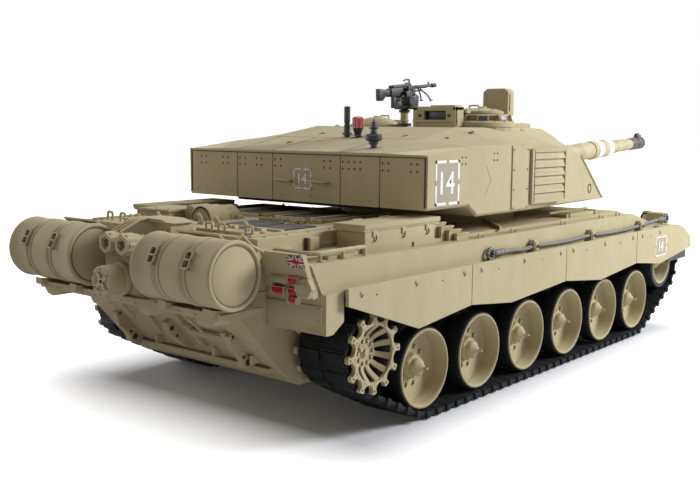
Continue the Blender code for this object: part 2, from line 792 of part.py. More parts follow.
def make_deck():
    """Upper hull: one open-bottomed shell with sponsons, engine deck, bins, glacis and fenders."""
    nose = (390.5, glacis_z(390.5))
    centre = [(-105, PARTING_Z), (335, PARTING_Z), (388, 65.8), nose, GLACIS_TOP, (-105, GLACIS_TOP[1])]
    sponson = [(-92.3, 84.4), (345, 84.4), (345, 86.2), (285, SPONSON_TOP), (-101.4, SPONSON_TOP)]
    fender = [
        (330, 85.6), (350, 85.6), (373, 82.6), (388, 76.6), (395, 70), (398.5, 72),
        (391.5, 79.6), (376, 86.1), (352, 88.3), (330, 88.3),
    ]
    web = [(300, 87), (338, 86.5), (387, 69.5), (396.5, 71.2), (389.8, 78.2), (374.5, 84.2), (352, 87), (300, 96)]
    box = [(BOX_REAR, 86), (BOX_REAR, BOX_BOTTOM), (-88, BOX_BOTTOM), (BOX_FRONT, 70.6), (BOX_FRONT, 86)]
    post = [(-108.7, 107.6), (-99.7, 84.7), (-96, 84.7), (-105, 107.6)]
    engine = [(-107, 101), (54, 101), (54, 102.4), (40, ENGINE_DECK_TOP), (-107, ENGINE_DECK_TOP)]
    deck = extruded("hull_deck", centre, -HULL_HALF, HULL_HALF)
    union(deck, block("deck_plate", (-103, -PLATE_HALF, 99), (282, PLATE_HALF, DECK_TOP)))
    union(deck, extruded("deck_engine", engine, -ENGINE_DECK_HALF, ENGINE_DECK_HALF))
    union(deck, rod("deck_ring", (RING_X, 0, RING_BOSS_TOP - 6), RING_BOSS_R, 12, "Z", 32))
    tan_box = [(-18, 104), (22, 104), (22, 116), (10, 119), (-10, 119), (-18, 117)]
    union(deck, extruded("deck_rear_box", tan_box, -116, -100, "YZ"))
    union(deck, rod("deck_exhaust", (-50, 18, ENGINE_DECK_TOP), 8.6, 25, "X", 12))
    union(deck, rod("deck_exhaust_pipe", (-54, 31, ENGINE_DECK_TOP + 3.4), 4.4, 13, "X", 10))
    union(deck, block("deck_air_box", (-71, 38, 111), (-45, 63, ENGINE_DECK_TOP + 5)))
    hatch = rod("deck_driver_hatch", (HATCH_X, 0, glacis_z(HATCH_X)), 15, 5, "Z", 12)
    union(deck, turn_about(hatch, (HATCH_X, 0, glacis_z(HATCH_X)), "Y", math.degrees(GLACIS_LEAN)))
    for side, sign in SIDES:
        union(deck, side_plate("deck_sponson", side, sign, sponson, HULL_HALF - 1, SPONSON_HALF))
        union(deck, side_plate("deck_fender", side, sign, fender, HULL_HALF - 2, FENDER_HALF))
        union(deck, side_plate("deck_web", side, sign, web, HULL_HALF - 2.2, HULL_HALF + 1.8))
        union(deck, side_plate("deck_box", side, sign, box, HULL_HALF + CLEAR, SPONSON_HALF + 3))
        union(deck, side_plate("deck_post", side, sign, post, 78, SPONSON_HALF - 0.2))
        union(deck, mirrored_block("deck_lamp", side, sign, (-103.5, SPONSON_HALF - 19, 85), (-95, SPONSON_HALF - 1, 95.5)))
        union(deck, mirrored_block("deck_bin", side, sign, (-48, ENGINE_DECK_HALF + 3, 101), (17, BIN_OUT, 114)))
        union(deck, mirrored_block("deck_bin_lid", side, sign, (-50, ENGINE_DECK_HALF + 2, 113.5), (21, BIN_OUT + 1.2, 116.6)))
        for i in range(STEP_RIBS):
            near, level = PLATE_HALF - 5 + i * 3, 111.6 - i * 2.2
            low, high = (24 + i * 4, near, 101), (37 + i * 4, near + 2.2, level)
            union(deck, mirrored_block(f"deck_step_{i}", side, sign, low, high))
        union(deck, mirrored_block("deck_lamp_pod", side, sign, (360, 88, 86), (371, 103, 96.5)))
        rail = [(-94, 62, 102), (-94, 62, 105.6), (-94, 97, 105.6), (-89, 101, 105.6), (-52, 101, 105.6), (-52, 101, 101)]
        route = [(x, sign * y, z) for x, y, z in rail]
        union(deck, tube_along(f"deck_rail_{side}", route, RAIL_R, 1))
        for i, x in enumerate(CLIP_X):
            low, high = (x - 3, SPONSON_HALF - 1, 87), (x + 3, CABLE_Y + 2, 95.4)
            union(deck, mirrored_block(f"deck_clip_{i}", side, sign, low, high))
        cut(deck, rod(f"deck_cable_bore_{side}", (207, sign * CABLE_Y, CABLE_Z), CABLE_R + CLEAR + 0.2, 260, "X", 6))
        room = [(-77, 70), (343, 70), (343, 83.9), (283, SPONSON_TOP - WALL), (-77, SPONSON_TOP - WALL)]
        cut(deck, side_plate("deck_sponson_room", side, sign, room, HULL_HALF + 2, SPONSON_HALF - WALL))
    room = [
        (-102.5, 60), (386.3, 60), (386.3, 66.2), (283, DECK_TOP - WALL), (38, DECK_TOP - WALL),
        (34, ENGINE_DECK_TOP - WALL), (-102.5, ENGINE_DECK_TOP - WALL),
    ]
    cut(deck, extruded("deck_room", room, WALL - HULL_HALF, HULL_HALF - WALL))
    cut(deck, rod("deck_exhaust_mouth", (-60, 18, ENGINE_DECK_TOP + 1), 6.2, 14, "X", 10))
    cut(deck, rod("deck_ring_hole", (RING_X, 0, 104), RING_R + CLEAR, 24, "Z", 32))
    return finish(deck, "sand")


def make_skirt(side, sign):
    """Side skirt with its stepped lower edge, panel grooves and the rail that hangs it."""
    shape = [
        (-80.5, 79), (-18.3, 57.6), (36, 63.4), (84, 58.2), (159, 63), (215.5, 57), (281, 62.6),
        (329.5, 57), (355, 60), (399.6, 65), (397, 75), (378.4, 85), (347, 88), (-80.5, 88),
    ]
    name = "skirt_" + side
    inner = SKIRT_OUT - SKIRT_THICK
    skirt = extruded(name, shape, min(sign * inner, sign * SKIRT_OUT), max(sign * inner, sign * SKIRT_OUT))
    union(skirt, mirrored_block("skirt_rail", side, sign, (-76, SPONSON_HALF + CLEAR, 84.4), (325, inner + 0.5, 86.4)))
    for x in (36.0, 158.5, 280.0):
        cut(skirt, mirrored_block(f"skirt_groove_{int(x)}", side, sign, (x - 0.4, SKIRT_OUT - 0.6, 40), (x + 0.4, SKIRT_OUT + 2, 95)))
    return finish(skirt, "sand")


def make_drum(side, sign):
    """Fuel drum with raised end rims and two straps."""
    half = (DRUM_OUTER - DRUM_INNER) / 2
    profile = [(0.0, half - 1.5), (DRUM_R - 4, half - 1.5), (DRUM_R - 3.2, half), (DRUM_R, half - 0.6)]
    for place in (half - 20, -half + 14):
        strap = DRUM_R + STRAP_RISE
        profile += [(DRUM_R, place + 6), (strap, place + 6), (strap, place), (DRUM_R, place)]
    profile += [(DRUM_R, 0.6 - half), (DRUM_R - 3.2, -half), (DRUM_R - 4, 1.5 - half), (0.0, 1.5 - half)]
    centre = (DRUM_X, sign * (DRUM_OUTER + DRUM_INNER) / 2, DRUM_Z)
    drum = turned("fuel_drum_" + side, centre, profile, "Y", 20)
    return finish(drum, "sand")


def make_cable(side, sign):
    """Tow cable held in its clips along the hull side, with an eye at each end."""
    name = "tow_cable_" + side
    y = sign * CABLE_Y
    front_z = CABLE_Z + CABLE_LIFT
    route = [(68, y, CABLE_Z), (302, y, CABLE_Z), (330, y, front_z), (346, y, front_z)]
    cable = tube_along(name, route, CABLE_R)
    for i, (x, toward, z) in enumerate(((64.0, 1, CABLE_Z), (350.0, -1, front_z))):
        union(cable, rod(f"{name}_sleeve_{i}", (x + toward * 11, y, z), 1.9, 14, "X", 8))
        union(cable, rod(f"{name}_eye_{i}", (x, y, z), EYE_R, 2.4, "Y", 12))
        cut(cable, rod(f"{name}_hole_{i}", (x, y, z), EYE_R - 2.0, 6.0, "Y", 8))
    return finish(cable, "cable_steel")


# --- inside the hull ------------------------------------------------------------------------

def make_internals():
    floor = BELLY_Z + WALL + CLEAR
    low = (DOOR_REAR + CLEAR, CLEAR - DOOR_HALF, BELLY_Z)
    high = (DOOR_FRONT - CLEAR, DOOR_HALF - CLEAR, BELLY_Z + WALL)
    door = block("battery_door", low, high)
    finish(door, "sand")
    finish(block("battery_pack", (DOOR_REAR + 4, 4 - DOOR_HALF, floor), (DOOR_FRONT - 4, DOOR_HALF - 4, floor + 22)), "battery_blue")
    board = block("control_board", (140, -36, 36), (215, 36, 37.6))
    union(board, block("board_parts", (155, -15, 37), (185, 15, 44)))
    for i, (x, y) in enumerate(((146, -30), (209, -30), (146, 30), (209, 30))):
        union(board, rod(f"board_foot_{i}", (x, y, (floor + 36.6) / 2), 2.5, 36.6 - floor, "Z", 8))
    finish(board, "board_green")
    profile = [(0, 16), (11, 16), (11, 9), (14, 7), (22, 3), (22, 0), (0, 0)]
    finish(turned("speaker", (262, 0, floor), profile, "Z", 20), "dark_plastic")
    switch = block("power_switch", (-33.3, -2, 25.2), (-28.3, 2, 30.5))
    union(switch, block("switch_slide", (-40, -3.5, floor), (-21, 3.5, 31.5)))
    set_origin(switch, (-30.8, 0, floor))
    finish(switch, "dark_plastic")
    for side, sign in SIDES:
        box = mirrored_block("gearbox", side, sign, (-72, 12, 36), (-32, GEARBOX_OUT, 64))
        union(box, rod(f"gearbox_motor_{side}", (-24, sign * 38, 46), 12, 44, "Y", 16))
        union(box, mirrored_block("gearbox_foot", side, sign, (-60, 20, floor), (-40, 56, 38)))
        bore = (SPROCKET_X, sign * (GEARBOX_OUT - 2.8), SPROCKET_Z)
        cut(box, rod(f"gearbox_bore_{side}", bore, SHAFT_R + BORE_CLEAR, 10, "Y", 12))
        finish(box, "dark_plastic")
    drive = block("turret_gearbox", (86, -14, 72), (112, 14, 100.5))
    union(drive, rod("turret_drive_shaft", (103, 0, 103), 2, 16, "Z", 8))
    union(drive, rod("turret_drive_gear", (103, 0, 108), 6.5, 6, "Z", 14))
    finish(drive, "dark_plastic")


# --- turret ---------------------------------------------------------------------------------

def section(x, *points):
    return both_sides([(x, -y, z) for y, z in points])


def make_turret_shell():
    """Turret body: faceted shell with the gun slot, sight box, louvre boxes and roof seats."""
    shell = lofted("turret_shell", [
        section(3, (101.5, 121.7), (103, 123.2), (103, 153.5), (72, 154.3)),
        section(47, (101.5, 121.7), (103, 123.2), (103, 158.6), (66, 162.2)),
        section(57, (101.5, 114.8), (103, 116.3), (103, 158.8), (65, 163.8)),
        section(92, (101.5, 114.8), (103, 116.3), (103, 159.4), (62, ROOF_Z)),
        section(119, (101.5, 114.8), (103, 116.3), (103, 160.0), (62, ROOF_Z)),
        section(168, (97.7, 114.8), (99.2, 116.3), (99.2, 157.3), (58, ROOF_Z)),
        section(210, (95.3, 114.9), (96.8, 116.0), (96.8, 149.0), (50, ROOF_Z)),
        section(252, (93.8, 115.0), (95, 115.4), (95, 116.2), (40, 168.8)),
        section(280, (71, 117.4), (72.4, 117.8), (72.4, 118.8), (34, 164.5)),
        section(335, (27, 120.8), (28, 121.2), (28, 122.4), (24, 150.5)),
    ])
    shell_room = lofted("turret_room", [
        section(6, (100.2, 124.3), (100.2, 150.8), (70, 151.6)),
        section(47, (100.2, 124.3), (100.2, 155.6), (64, 159.0)),
        section(58.5, (100.2, 124.3), (100.2, 156.2), (63, 161.0)),
        section(59.2, (100.2, 100), (100.2, 156.2), (63, 161.2)),
        section(92, (100.2, 100), (100.2, 156.5), (60, 166.8)),
        section(119, (100.2, 100), (100.2, 157), (60, 166.8)),
        section(168, (96.4, 100), (96.4, 154.2), (55, 166.8)),
        section(210, (92, 100), (92, 145), (47, 166.8)),
        section(240, (88, 100), (88, 124), (40, 165)),
    ])
    union(shell, block("sight_box", (225, -18, 160), (274, 18, 172.8)))
    union(shell, rod("cupola_seat", (CUPOLA_X, CUPOLA_Y, ROOF_Z - 5), CUPOLA_R + 1, 10, "Z", 24))
    union(shell, rod("loader_seat", (LOADER_X, LOADER_Y, ROOF_Z - 5), 22, 10, "Z", 24))
    union(shell, block("stub_seat", (43.5, DOME_Y - 6, 158), (56.5, STUB_Y + 6, 163.5)))
    union(shell, rod("aerial_seat", (AERIAL_X, AERIAL_Y, 155.8), 7.5, 5.6, "Z", 16))
    union(shell, block("cupola_frame", (116.8, -46, 167), (119.4, -11, 184)))
    for side, sign in SIDES:
        union(shell, mirrored_block("louvre_box", side, sign, (123, 97, 119), (172, 104.8, 156)))
        cut(shell, mirrored_block("louvre_recess", side, sign, (125.5, 103, 121.5), (169.5, 108, 153.5)))
        for i in range(LOUVRES):
            z = 124.3 + i * LOUVRE_STEP
            slat = [(102.6, z + 1.8), (102.6, z + 0.2), (104.5, z - 2.2), (104.5, z - 0.6)]
            outline = [(sign * y, level) for y, level in slat]
            union(shell, extruded(f"louvre_{side}_{i}", outline, 125.2, 169.8, "YZ"))
        union(shell, mirrored_block("turret_strip", side, sign, (98, 102.4, 116.5), (119, 103.8, 158.4)))
    for i, y in enumerate(PANEL_SPLITS):
        cut(shell, block(f"panel_split_{i}", (0, y - 0.4, 120), (3.7, y + 0.4, 160)))
    cut(shell, shell_room)
    cut(shell, block("frame_opening", (112, -38, 175), (124, -19, 181.3)))
    cut(shell, block("gun_slot", (236, -SLOT_HALF, 123), (280, SLOT_HALF, 156)))
    cut(shell, block("gun_slot_front", (276, -SLOT_HALF, 123), (345, SLOT_HALF, 200)))
    cut(shell, rod("trunnion_bore", (TRUNNION_X, 0, TRUNNION_Z), TRUNNION_R + BORE_CLEAR, 52, "Y", 16))
    holes = (
        (CUPOLA_X, CUPOLA_Y, 20.0), (LOADER_X, LOADER_Y, 15.0), (SIGHT_X, SIGHT_Y, 5.3),
        (POST_X, POST_Y, 2.9), (STUB_X, STUB_Y, 2.3), (STUB_X, DOME_Y, 2.3), (AERIAL_X, AERIAL_Y, 2.3),
    )
    for i, (x, y, radius) in enumerate(holes):
        cut(shell, rod(f"roof_hole_{i}", (x, y, 165), radius, 30, "Z", 12 if radius < 10 else 24))
    set_origin(shell, (RING_X, 0, BASE_LOW))
    return finish(shell, "sand")


def make_turret_base():
    """Plate that closes the turret, with the ring that turns in the hull."""
    shape = [
        (59.6, -99.8), (119, -99.8), (168, -96), (210, -91.6), (239.6, -87.6),
        (239.6, 87.6), (210, 91.6), (168, 96), (119, 99.8), (59.6, 99.8),
    ]
    base = extruded("turret_base", shape, BASE_LOW, BASE_LOW + BASE_THICK, "XY")
    union(base, rod("base_disc", (RING_X, 0, RING_BOSS_TOP + 2.1), RING_BOSS_R - 2, 3.0, "Z", 32))
    union(base, rod("base_ring", (RING_X, 0, 109.5), RING_R, 11, "Z", 32))
    cut(base, rod("base_hole", (RING_X, 0, 110), RING_R - RING_WALL, 40, "Z", 32))
    set_origin(base, (RING_X, 0, BASE_LOW))
    return finish(base, "sand")


def make_gun():
    """Mantlet on its trunnions and the recoiling gun tube, both raised by the resting elevation."""
    x, z = TRUNNION_X, TRUNNION_Z
    shape = [(x + 40, z + 14), (x, z + 14)]
    for k in range(1, 8):
        angle = math.pi / 2 + math.pi * k / 8
        shape.append((x + 14 * math.cos(angle), z + 14 * math.sin(angle)))
    shape += [(x, z - 14), (x + 30, z - 13), (x + 58, z - 9), (x + 62, z - 6), (x + 62, z + 6), (x + 58, z + 10)]
    mantlet = extruded("gun_mantlet", shape, 0.4 - SLOT_HALF, SLOT_HALF - 0.4)
    union(mantlet, rod("mantlet_pins", (x, 0, z), TRUNNION_R, 50, "Y", 16))
    bore = rod("mantlet_bore", (x + 30, 0, z), 6.0 + CLEAR, 100, "X", 16)
    cut(mantlet, bore)
    turn_about(mantlet, (x, 0, z), "Y", -GUN_ELEVATION)
    turn_about(bore, (x, 0, z), "Y", -GUN_ELEVATION)
    set_origin(mantlet, (x, 0, z))
    finish(mantlet, "sand")
    collar = MUZZLE_REACH - MUZZLE_COLLAR
    profile = [
        (0, MUZZLE_REACH), (6.2, MUZZLE_REACH), (6.2, collar), (5.3, collar - 2), (6.1, 192), (8.6, 190),
        (8.6, 156), (9.4, 155), (9.4, 150), (8.2, 149), (7.2, 72), (6.0, 72), (6.0, -6), (0, -6),
    ]
    barrel = turned("gun_barrel", (x, 0, z), profile, "X", 16)
    sight = block("muzzle_sight", (x + MUZZLE_REACH - 11, -2.2, z + 4), (x + MUZZLE_REACH - 3, 2.2, z + 10.5))
    union(barrel, sight)
    turn_about(barrel, (x, 0, z), "Y", -GUN_ELEVATION)
    turn_about(sight, (x, 0, z), "Y", -GUN_ELEVATION)
    finish(barrel, "sand")


def make_roof_pieces():
    """Cupola, hatches, machine gun, sights and aerials on the turret roof."""
    profile = [
        (16.5, 9.4), (22, 9.4), (CUPOLA_R, 4.5), (CUPOLA_R, CLEAR), (19.7, CLEAR), (19.7, -4), (16.5, -4),
    ]
    finish(turned("commander_cupola", (CUPOLA_X, CUPOLA_Y, ROOF_Z), profile, "Z", 20, ring=True), "sand")
    top = ROOF_Z + 9.4 + CLEAR
    profile = [(0, 3.9), (13, 3.3), (HATCH_R, 1.9), (HATCH_R, 0), (0, 0)]
    hatch = turned("commander_hatch", (CUPOLA_X, CUPOLA_Y, top), profile, "Z", 20)
    hinge = (CUPOLA_X - 23.4, CUPOLA_Y, top + LUG_R + 0.1)
    union(hatch, rod("hatch_knuckle", hinge, LUG_R, 12, "Y", 10))
    low, high = (hinge[0], CUPOLA_Y - 5, top + 0.3), (137, CUPOLA_Y + 5, top + 2.2)
    union(hatch, block("hatch_lug", low, high))
    finish(hatch, "sand")
    set_origin(hatch, hinge)
    seat = ROOF_Z + CLEAR
    profile = [(0, 6.6), (8, 6.0), (14, 3.6), (18, 1.6), (18, 0), (0, 0)]
    loader = turned("loader_hatch", (LOADER_X, LOADER_Y, seat), profile, "Z", 20)
    hinge = (LOADER_X, LOADER_Y + 19.5, seat + LUG_R + 0.1)
    union(loader, rod("loader_knuckle", hinge, LUG_R, 12, "X", 10))
    low, high = (LOADER_X - 5, LOADER_Y + 14, seat + 0.3), (LOADER_X + 5, hinge[1], seat + 2.2)
    union(loader, block("loader_lug", low, high))
    finish(loader, "sand")
    set_origin(loader, hinge)
    x, y, z = POST_X, POST_Y, GUN_PIVOT_Z
    mount = rod("mg_mount", (x, y, (164 + 184.5) / 2), 2.6, 20.5, "Z", 12)
    union(mount, rod("mount_foot", (x, y, seat + 1.2), 5.5, 2.4, "Z", 16))
    union(mount, block("mount_bridge", (x - 4, y - 6.4, 183), (x + 4, y + 6.4, 186.5)))
    for i, low in enumerate((y - 6.4, y + 4.2)):
        union(mount, block(f"mount_cheek_{i}", (x - 3.5, low, 186), (x + 3.5, low + 2.2, z + 3.5)))
    cut(mount, rod("mount_bore", (x, y, z), 1.5 + CLEAR, 30, "Y", 10))
    finish(mount, "dark_metal")
    set_origin(mount, (x, y, seat))
    gun_line = z + 2.6
    gun = block("machine_gun", (x - 22, y - 3.4, z - 3.4), (x + 12, y + 3.4, z + 6))
    pieces = [
        gun,
        block("gun_stock", (x - 33, y - 2.4, z - 1.5), (x - 20, y + 2.4, z + 4)),
        block("gun_grip", (x - 16, y - 1.8, z - 10), (x - 11, y + 1.8, z)),
        rod("gun_tube", (x + 24, y, gun_line), 1.5, 27, "X", 10),
        rod("gun_pin", (x, y, z), 1.5, 12.4, "Y", 10),
        block("gun_belt_box", (x - 9, y - 3, z - 7.4), (x - 3.8, y + 3, z)),
    ]
    for piece in pieces:
        turn_about(piece, (x, y, z), "Y", -5.7)
    union(gun, *pieces[1:])
    set_origin(gun, (x, y, z))
    finish(gun, "dark_metal")
    x, y = SIGHT_X, SIGHT_Y
    sight = rod("panoramic_sight", (x, y, seat + 4.5), 7.0, 9.0, "Z", 16)
    union(sight, rod("sight_spigot", (x, y, 168), 5.0, 8, "Z", 16))
    union(sight, block("sight_head", (x - 4.5, y - 11, 178.6), (x + 4.5, y + 11, 199.2)))
    finish(sight, "dark_plastic")
    set_origin(sight, (x, y, seat))
    stub_seat = 163.5 + CLEAR
    profile = [(0, 19.5), (2, 19.5), (2, 2), (3.2, 2), (3.2, 0), (2, 0), (2, -6), (0, -6)]
    finish(turned("antenna_stub", (STUB_X, STUB_Y, stub_seat), profile, "Z", 12), "sand")
    profile = [(0, 12.4), (2.6, 11.4), (3.8, 9), (3.8, 5), (3.0, 4.6), (4.8, 0), (2, 0), (2, -6), (0, -6)]
    finish(turned("ir_receiver", (STUB_X, DOME_Y, stub_seat), profile, "Z", 12), "lamp_red")
    profile = [
        (0, 15.4), (1.2, 15), (1.8, 10.4), (5.1, 9.6), (5.1, 7.6), (3.6, 7), (5.1, 5.8), (5.1, 3.6),
        (3.6, 3), (5.4, 2), (5.4, 0), (2, 0), (2, -6), (0, -6),
    ]
    finish(turned("aerial_base", (AERIAL_X, AERIAL_Y, 158.6 + CLEAR), profile, "Z", 12), "dark_plastic")
    drive = block("elevation_gearbox", (200, 24, BASE_LOW + BASE_THICK + CLEAR), (232, 52, 146))
    union(drive, rod("elevation_motor", (216, 30, 128), 8, 22, "Y", 12))
    finish(drive, "dark_plastic")


clear_scene()
PARTS = new_collection("battle_tank")
HELPERS = new_collection("cutters")
MATERIALS = {
    "sand": make_material("sand", SAND, 0.5),
    "track_black": make_material("track_black", DARK, 0.6),
    "dark_metal": make_material("dark_metal", STEEL, 0.45, 1.0),
    "cable_steel": make_material("cable_steel", STEEL, 0.4, 1.0),
    "dark_plastic": make_material("dark_plastic", (0.03, 0.03, 0.035), 0.5),
    "battery_blue": make_material("battery_blue", (0.02, 0.07, 0.22), 0.45),
    "board_green": make_material("board_green", (0.02, 0.12, 0.05), 0.5),
    "lamp_red": make_material("lamp_red", (0.35, 0.02, 0.03), 0.35),
}
make_tub()
make_deck()
for side_name, side_sign in SIDES:
    make_skirt(side_name, side_sign)
    make_drum(side_name, side_sign)
    make_cable(side_name, side_sign)
    make_track(side_name, side_sign)
    make_sprocket(side_name, side_sign)
    make_idler(side_name, side_sign)
    for wheel_index in range(WHEEL_COUNT):
        make_wheel(side_name, side_sign, wheel_index)
        make_arm(side_name, side_sign, wheel_index)
make_internals()
make_turret_shell()
make_turret_base()
make_gun()
make_roof_pieces()
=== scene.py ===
"""Looks of a 1/16 radio-controlled battle tank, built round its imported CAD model.

Shapes are drawn in the tank's own millimetres: X forward from the axle of the rearmost road
wheel, Y to the left, Z up from the ground. ROW carries them to metres in the shared frame.
"""

from math import asin, atan2, copysign, cos, hypot, pi, radians, sin

import bmesh
import bpy
from mathutils import Matrix, Vector


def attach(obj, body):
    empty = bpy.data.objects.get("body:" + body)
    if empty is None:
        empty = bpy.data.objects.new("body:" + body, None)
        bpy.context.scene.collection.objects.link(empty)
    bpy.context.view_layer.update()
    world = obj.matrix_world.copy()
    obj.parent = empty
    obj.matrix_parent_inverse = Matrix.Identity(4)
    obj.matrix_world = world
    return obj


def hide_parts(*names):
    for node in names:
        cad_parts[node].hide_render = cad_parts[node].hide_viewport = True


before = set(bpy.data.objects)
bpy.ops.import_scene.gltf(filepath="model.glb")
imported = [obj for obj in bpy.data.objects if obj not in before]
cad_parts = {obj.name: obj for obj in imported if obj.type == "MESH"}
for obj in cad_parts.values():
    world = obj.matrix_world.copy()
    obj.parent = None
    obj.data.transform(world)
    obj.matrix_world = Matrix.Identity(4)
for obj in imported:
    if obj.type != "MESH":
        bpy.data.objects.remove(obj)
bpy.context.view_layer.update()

ORIGIN_X = 198.7
ROW = Matrix.Scale(0.001, 4) @ Matrix.Translation((-ORIGIN_X, 0, 0))
SIDES = (("right", -1), ("left", 1))

# Running gear, hull and turret sizes in millimetres, as the CAD has them.
WHEELS = 6
WHEEL_STEP = 59.8
WHEEL_Z = 29.62
WHEEL_R = 24.8
WHEEL_HALF = 15.5
TRACK_Y = 90.5
TRACK_HALF = 20.0
PITCH = 10.5
PIN_THICK = 2.2
TEETH = 12
TOOTH_ROOT, TOOTH_HALF = 17.1, 4.4
SPROCKET_X, SPROCKET_Z = -53.5, 48.8
IDLER_X, IDLER_Z, IDLER_R = 353.5, 54.6, 22.0
DRUM_X, DRUM_Z, DRUM_R = -133.0, 97.9, 17.65
DRUM_INNER, DRUM_OUTER = 26.4, 86.7
SKIRT_Y = 114.0
ROPE_R = 1.35
BEAM_END = 77.5
ENGINE_Z = 112.6
ROOF_Z = 169.8
TRUNNION_X, TRUNNION_Z = 275.0, 139.0
GUN_RISE = radians(3.2)
CUPOLA = (153.0, -42.0)
LOADER = (146.0, 46.0)
POST = (144.0, 18.5)
MG_PIVOT_Z = 196.5
SIGHT = (190.0, -36.5)
AERIAL_Z, FINNED_Z = 163.8, 158.9
CHEEK_Y = 103.0
PANEL_X = 3.0
BIN_Y = 98.0
CABLE_Y, CABLE_Z = 109.2, 91.2
# Floor of a wheel's dish below its outer face, and half the gap between twin tyres.
DISH = 11.6
GROOVE = 4.0
# Fall of the roof's outer strips for each millimetre beyond their fold.
SHOULDER_FALL = 0.2
SHOULDER_Y = 62.0
CALL_SIGN = "14"
QUARTER = pi / 2


# --- finishes -------------------------------------------------------------------------------

def linear(colour):
    """Linear red, green, blue and alpha of an sRGB hex colour."""
    values = [int(colour[i:i + 2], 16) / 255 for i in (1, 3, 5)]
    return (*[v / 12.92 if v <= 0.04045 else ((v + 0.055) / 1.055) ** 2.4 for v in values], 1.0)


def add(tree, kind, sockets=None, **settings):
    """Add a node, give it its settings, and set or link its inputs by name or number."""
    made = tree.nodes.new(kind)
    for key, value in settings.items():
        setattr(made, key, value)
    for key, value in (sockets or {}).items():
        if isinstance(value, bpy.types.NodeSocket):
            tree.links.new(value, made.inputs[key])
        else:
            made.inputs[key].default_value = value
    return made


def new_finish(name):
    """Empty material with its node tree and its object coordinates."""
    material = bpy.data.materials.new(name)
    material.use_nodes = True
    material.node_tree.nodes.clear()
    place = add(material.node_tree, "ShaderNodeTexCoord").outputs["Object"]
    return material, material.node_tree, place


# Matting agent in the paint and mould texture on the nylon leave less mirror light than bare plastic.
MATT = {"Specular IOR Level": 0.22}


def shaded(material, colours, mixed_by, height, relief, roughness, values):
    """End a material: two colours mixed by one pattern, and relief (strength, metres) from another."""
    tree = material.node_tree
    tone = add(tree, "ShaderNodeMix", {0: mixed_by, 6: linear(colours[0]), 7: linear(colours[1])},
               data_type="RGBA")
    bump = add(tree, "ShaderNodeBump", {"Strength": relief[0], "Distance": relief[1], "Height": height})
    shader = add(tree, "ShaderNodeBsdfPrincipled", {
        "Base Color": tone.outputs[2], "Normal": bump.outputs[0], "Roughness": roughness, **values,
    })
    add(tree, "ShaderNodeOutputMaterial", {"Surface": shader.outputs[0]})
    return material


def painted_abs(name, colour, shade, roughness):
    """Moulded ABS under a sprayed matt coat, which leaves a fine orange peel and uneven cover."""
    material, tree, place = new_finish(name)
    cover = add(tree, "ShaderNodeTexNoise", {"Vector": place, "Scale": 24.0, "Detail": 5.0, "Roughness": 0.6})
    run = add(tree, "ShaderNodeMapping", {"Vector": place, "Scale": (90.0, 90.0, 30.0)})
    streak = add(tree, "ShaderNodeTexNoise", {"Vector": run.outputs[0], "Scale": 1.0, "Detail": 3.0})
    both = add(tree, "ShaderNodeMath", {0: cover.outputs[0], 1: streak.outputs[0]}, operation="MULTIPLY")
    depth = add(tree, "ShaderNodeMapRange", {"Value": both.outputs[0], "From Min": 0.06, "From Max": 0.36})
    # The peel of a sprayed coat is about 0.3 mm; it is drawn at 0.9 mm, so that it shows.
    grain = add(tree, "ShaderNodeTexNoise", {"Vector": place, "Scale": 1100.0, "Detail": 2.0}).outputs[0]
    gloss = add(tree, "ShaderNodeMapRange", {
        "Value": grain, "To Min": roughness - 0.07, "To Max": roughness + 0.09,
    })
    return shaded(material, (shade, colour), depth.outputs[0], grain, (0.35, 0.0001), gloss.outputs[0],
                  {"IOR": 1.5, **MATT})


def plain_moulding(name, colour, worn, roughness, rub=(260.0, 5.0, 0.65), rubbed=(0.40, 0.74),
                   grain=(1500.0, 1.0), strength=0.25, values=None):
    """Moulded or painted part: one colour with rubbed patches (scale, detail, roughness) and a fine grain."""
    material, tree, place = new_finish(name)
    scale, detail, rough = rub
    patch = add(tree, "ShaderNodeTexNoise", {
        "Vector": place, "Scale": scale, "Detail": detail, "Roughness": rough,
    })
    cover = add(tree, "ShaderNodeMapRange", {
        "Value": patch.outputs[0], "From Min": rubbed[0], "From Max": rubbed[1],
    })
    fine = add(tree, "ShaderNodeTexNoise", {"Vector": place, "Scale": grain[0], "Detail": grain[1]})
    return shaded(material, (colour, worn), cover.outputs[0], fine.outputs[0], (strength, 0.0001), roughness,
                  values or {})


def black_polyamide():
    """Injection-moulded black nylon of the links: dull, with patches of dust."""
    return plain_moulding("black_polyamide", "#101112", "#232426", 0.6, (190.0, 6.0, 0.7), (0.42, 0.72),
                          (1400.0, 2.0), 0.4, {"IOR": 1.53, **MATT})


def tyre_rubber():
    """Vulcanised rubber tyre: soft grey-black sheen, with fine scuffs round the tread."""
    material, tree, place = new_finish("tyre_rubber")
    run = add(tree, "ShaderNodeMapping", {"Vector": place, "Scale": (500.0, 60.0, 500.0)}).outputs[0]
    scuff = add(tree, "ShaderNodeTexNoise", {"Vector": run, "Scale": 1.0, "Detail": 4.0}).outputs[0]
    return shaded(material, ("#18191A", "#2E3032"), scuff, scuff, (0.3, 0.0001), 0.66, {"IOR": 1.52, **MATT})


def stranded_cable():
    """Twisted steel rope under dark paint: the strands cross the rope on a slant."""
    material, tree, place = new_finish("stranded_cable")
    # A rope this thin has a lay of about 2 mm; the bands follow it along the hull side. The dark bands in the
    # grooves between strands are painted shade, and the light ones on their crowns are painted highlight.
    run = add(tree, "ShaderNodeMapping", {"Vector": place, "Rotation": (0.0, 0.9, 0.0)}).outputs[0]
    lay = add(tree, "ShaderNodeTexWave", {"Vector": run, "Scale": 170.0, "Distortion": 0.3},
              bands_direction="X").outputs[1]
    return shaded(material, ("#43423F", "#8B8983"), lay, lay, (0.8, 0.0003), 0.6, {"Metallic": 0.2})


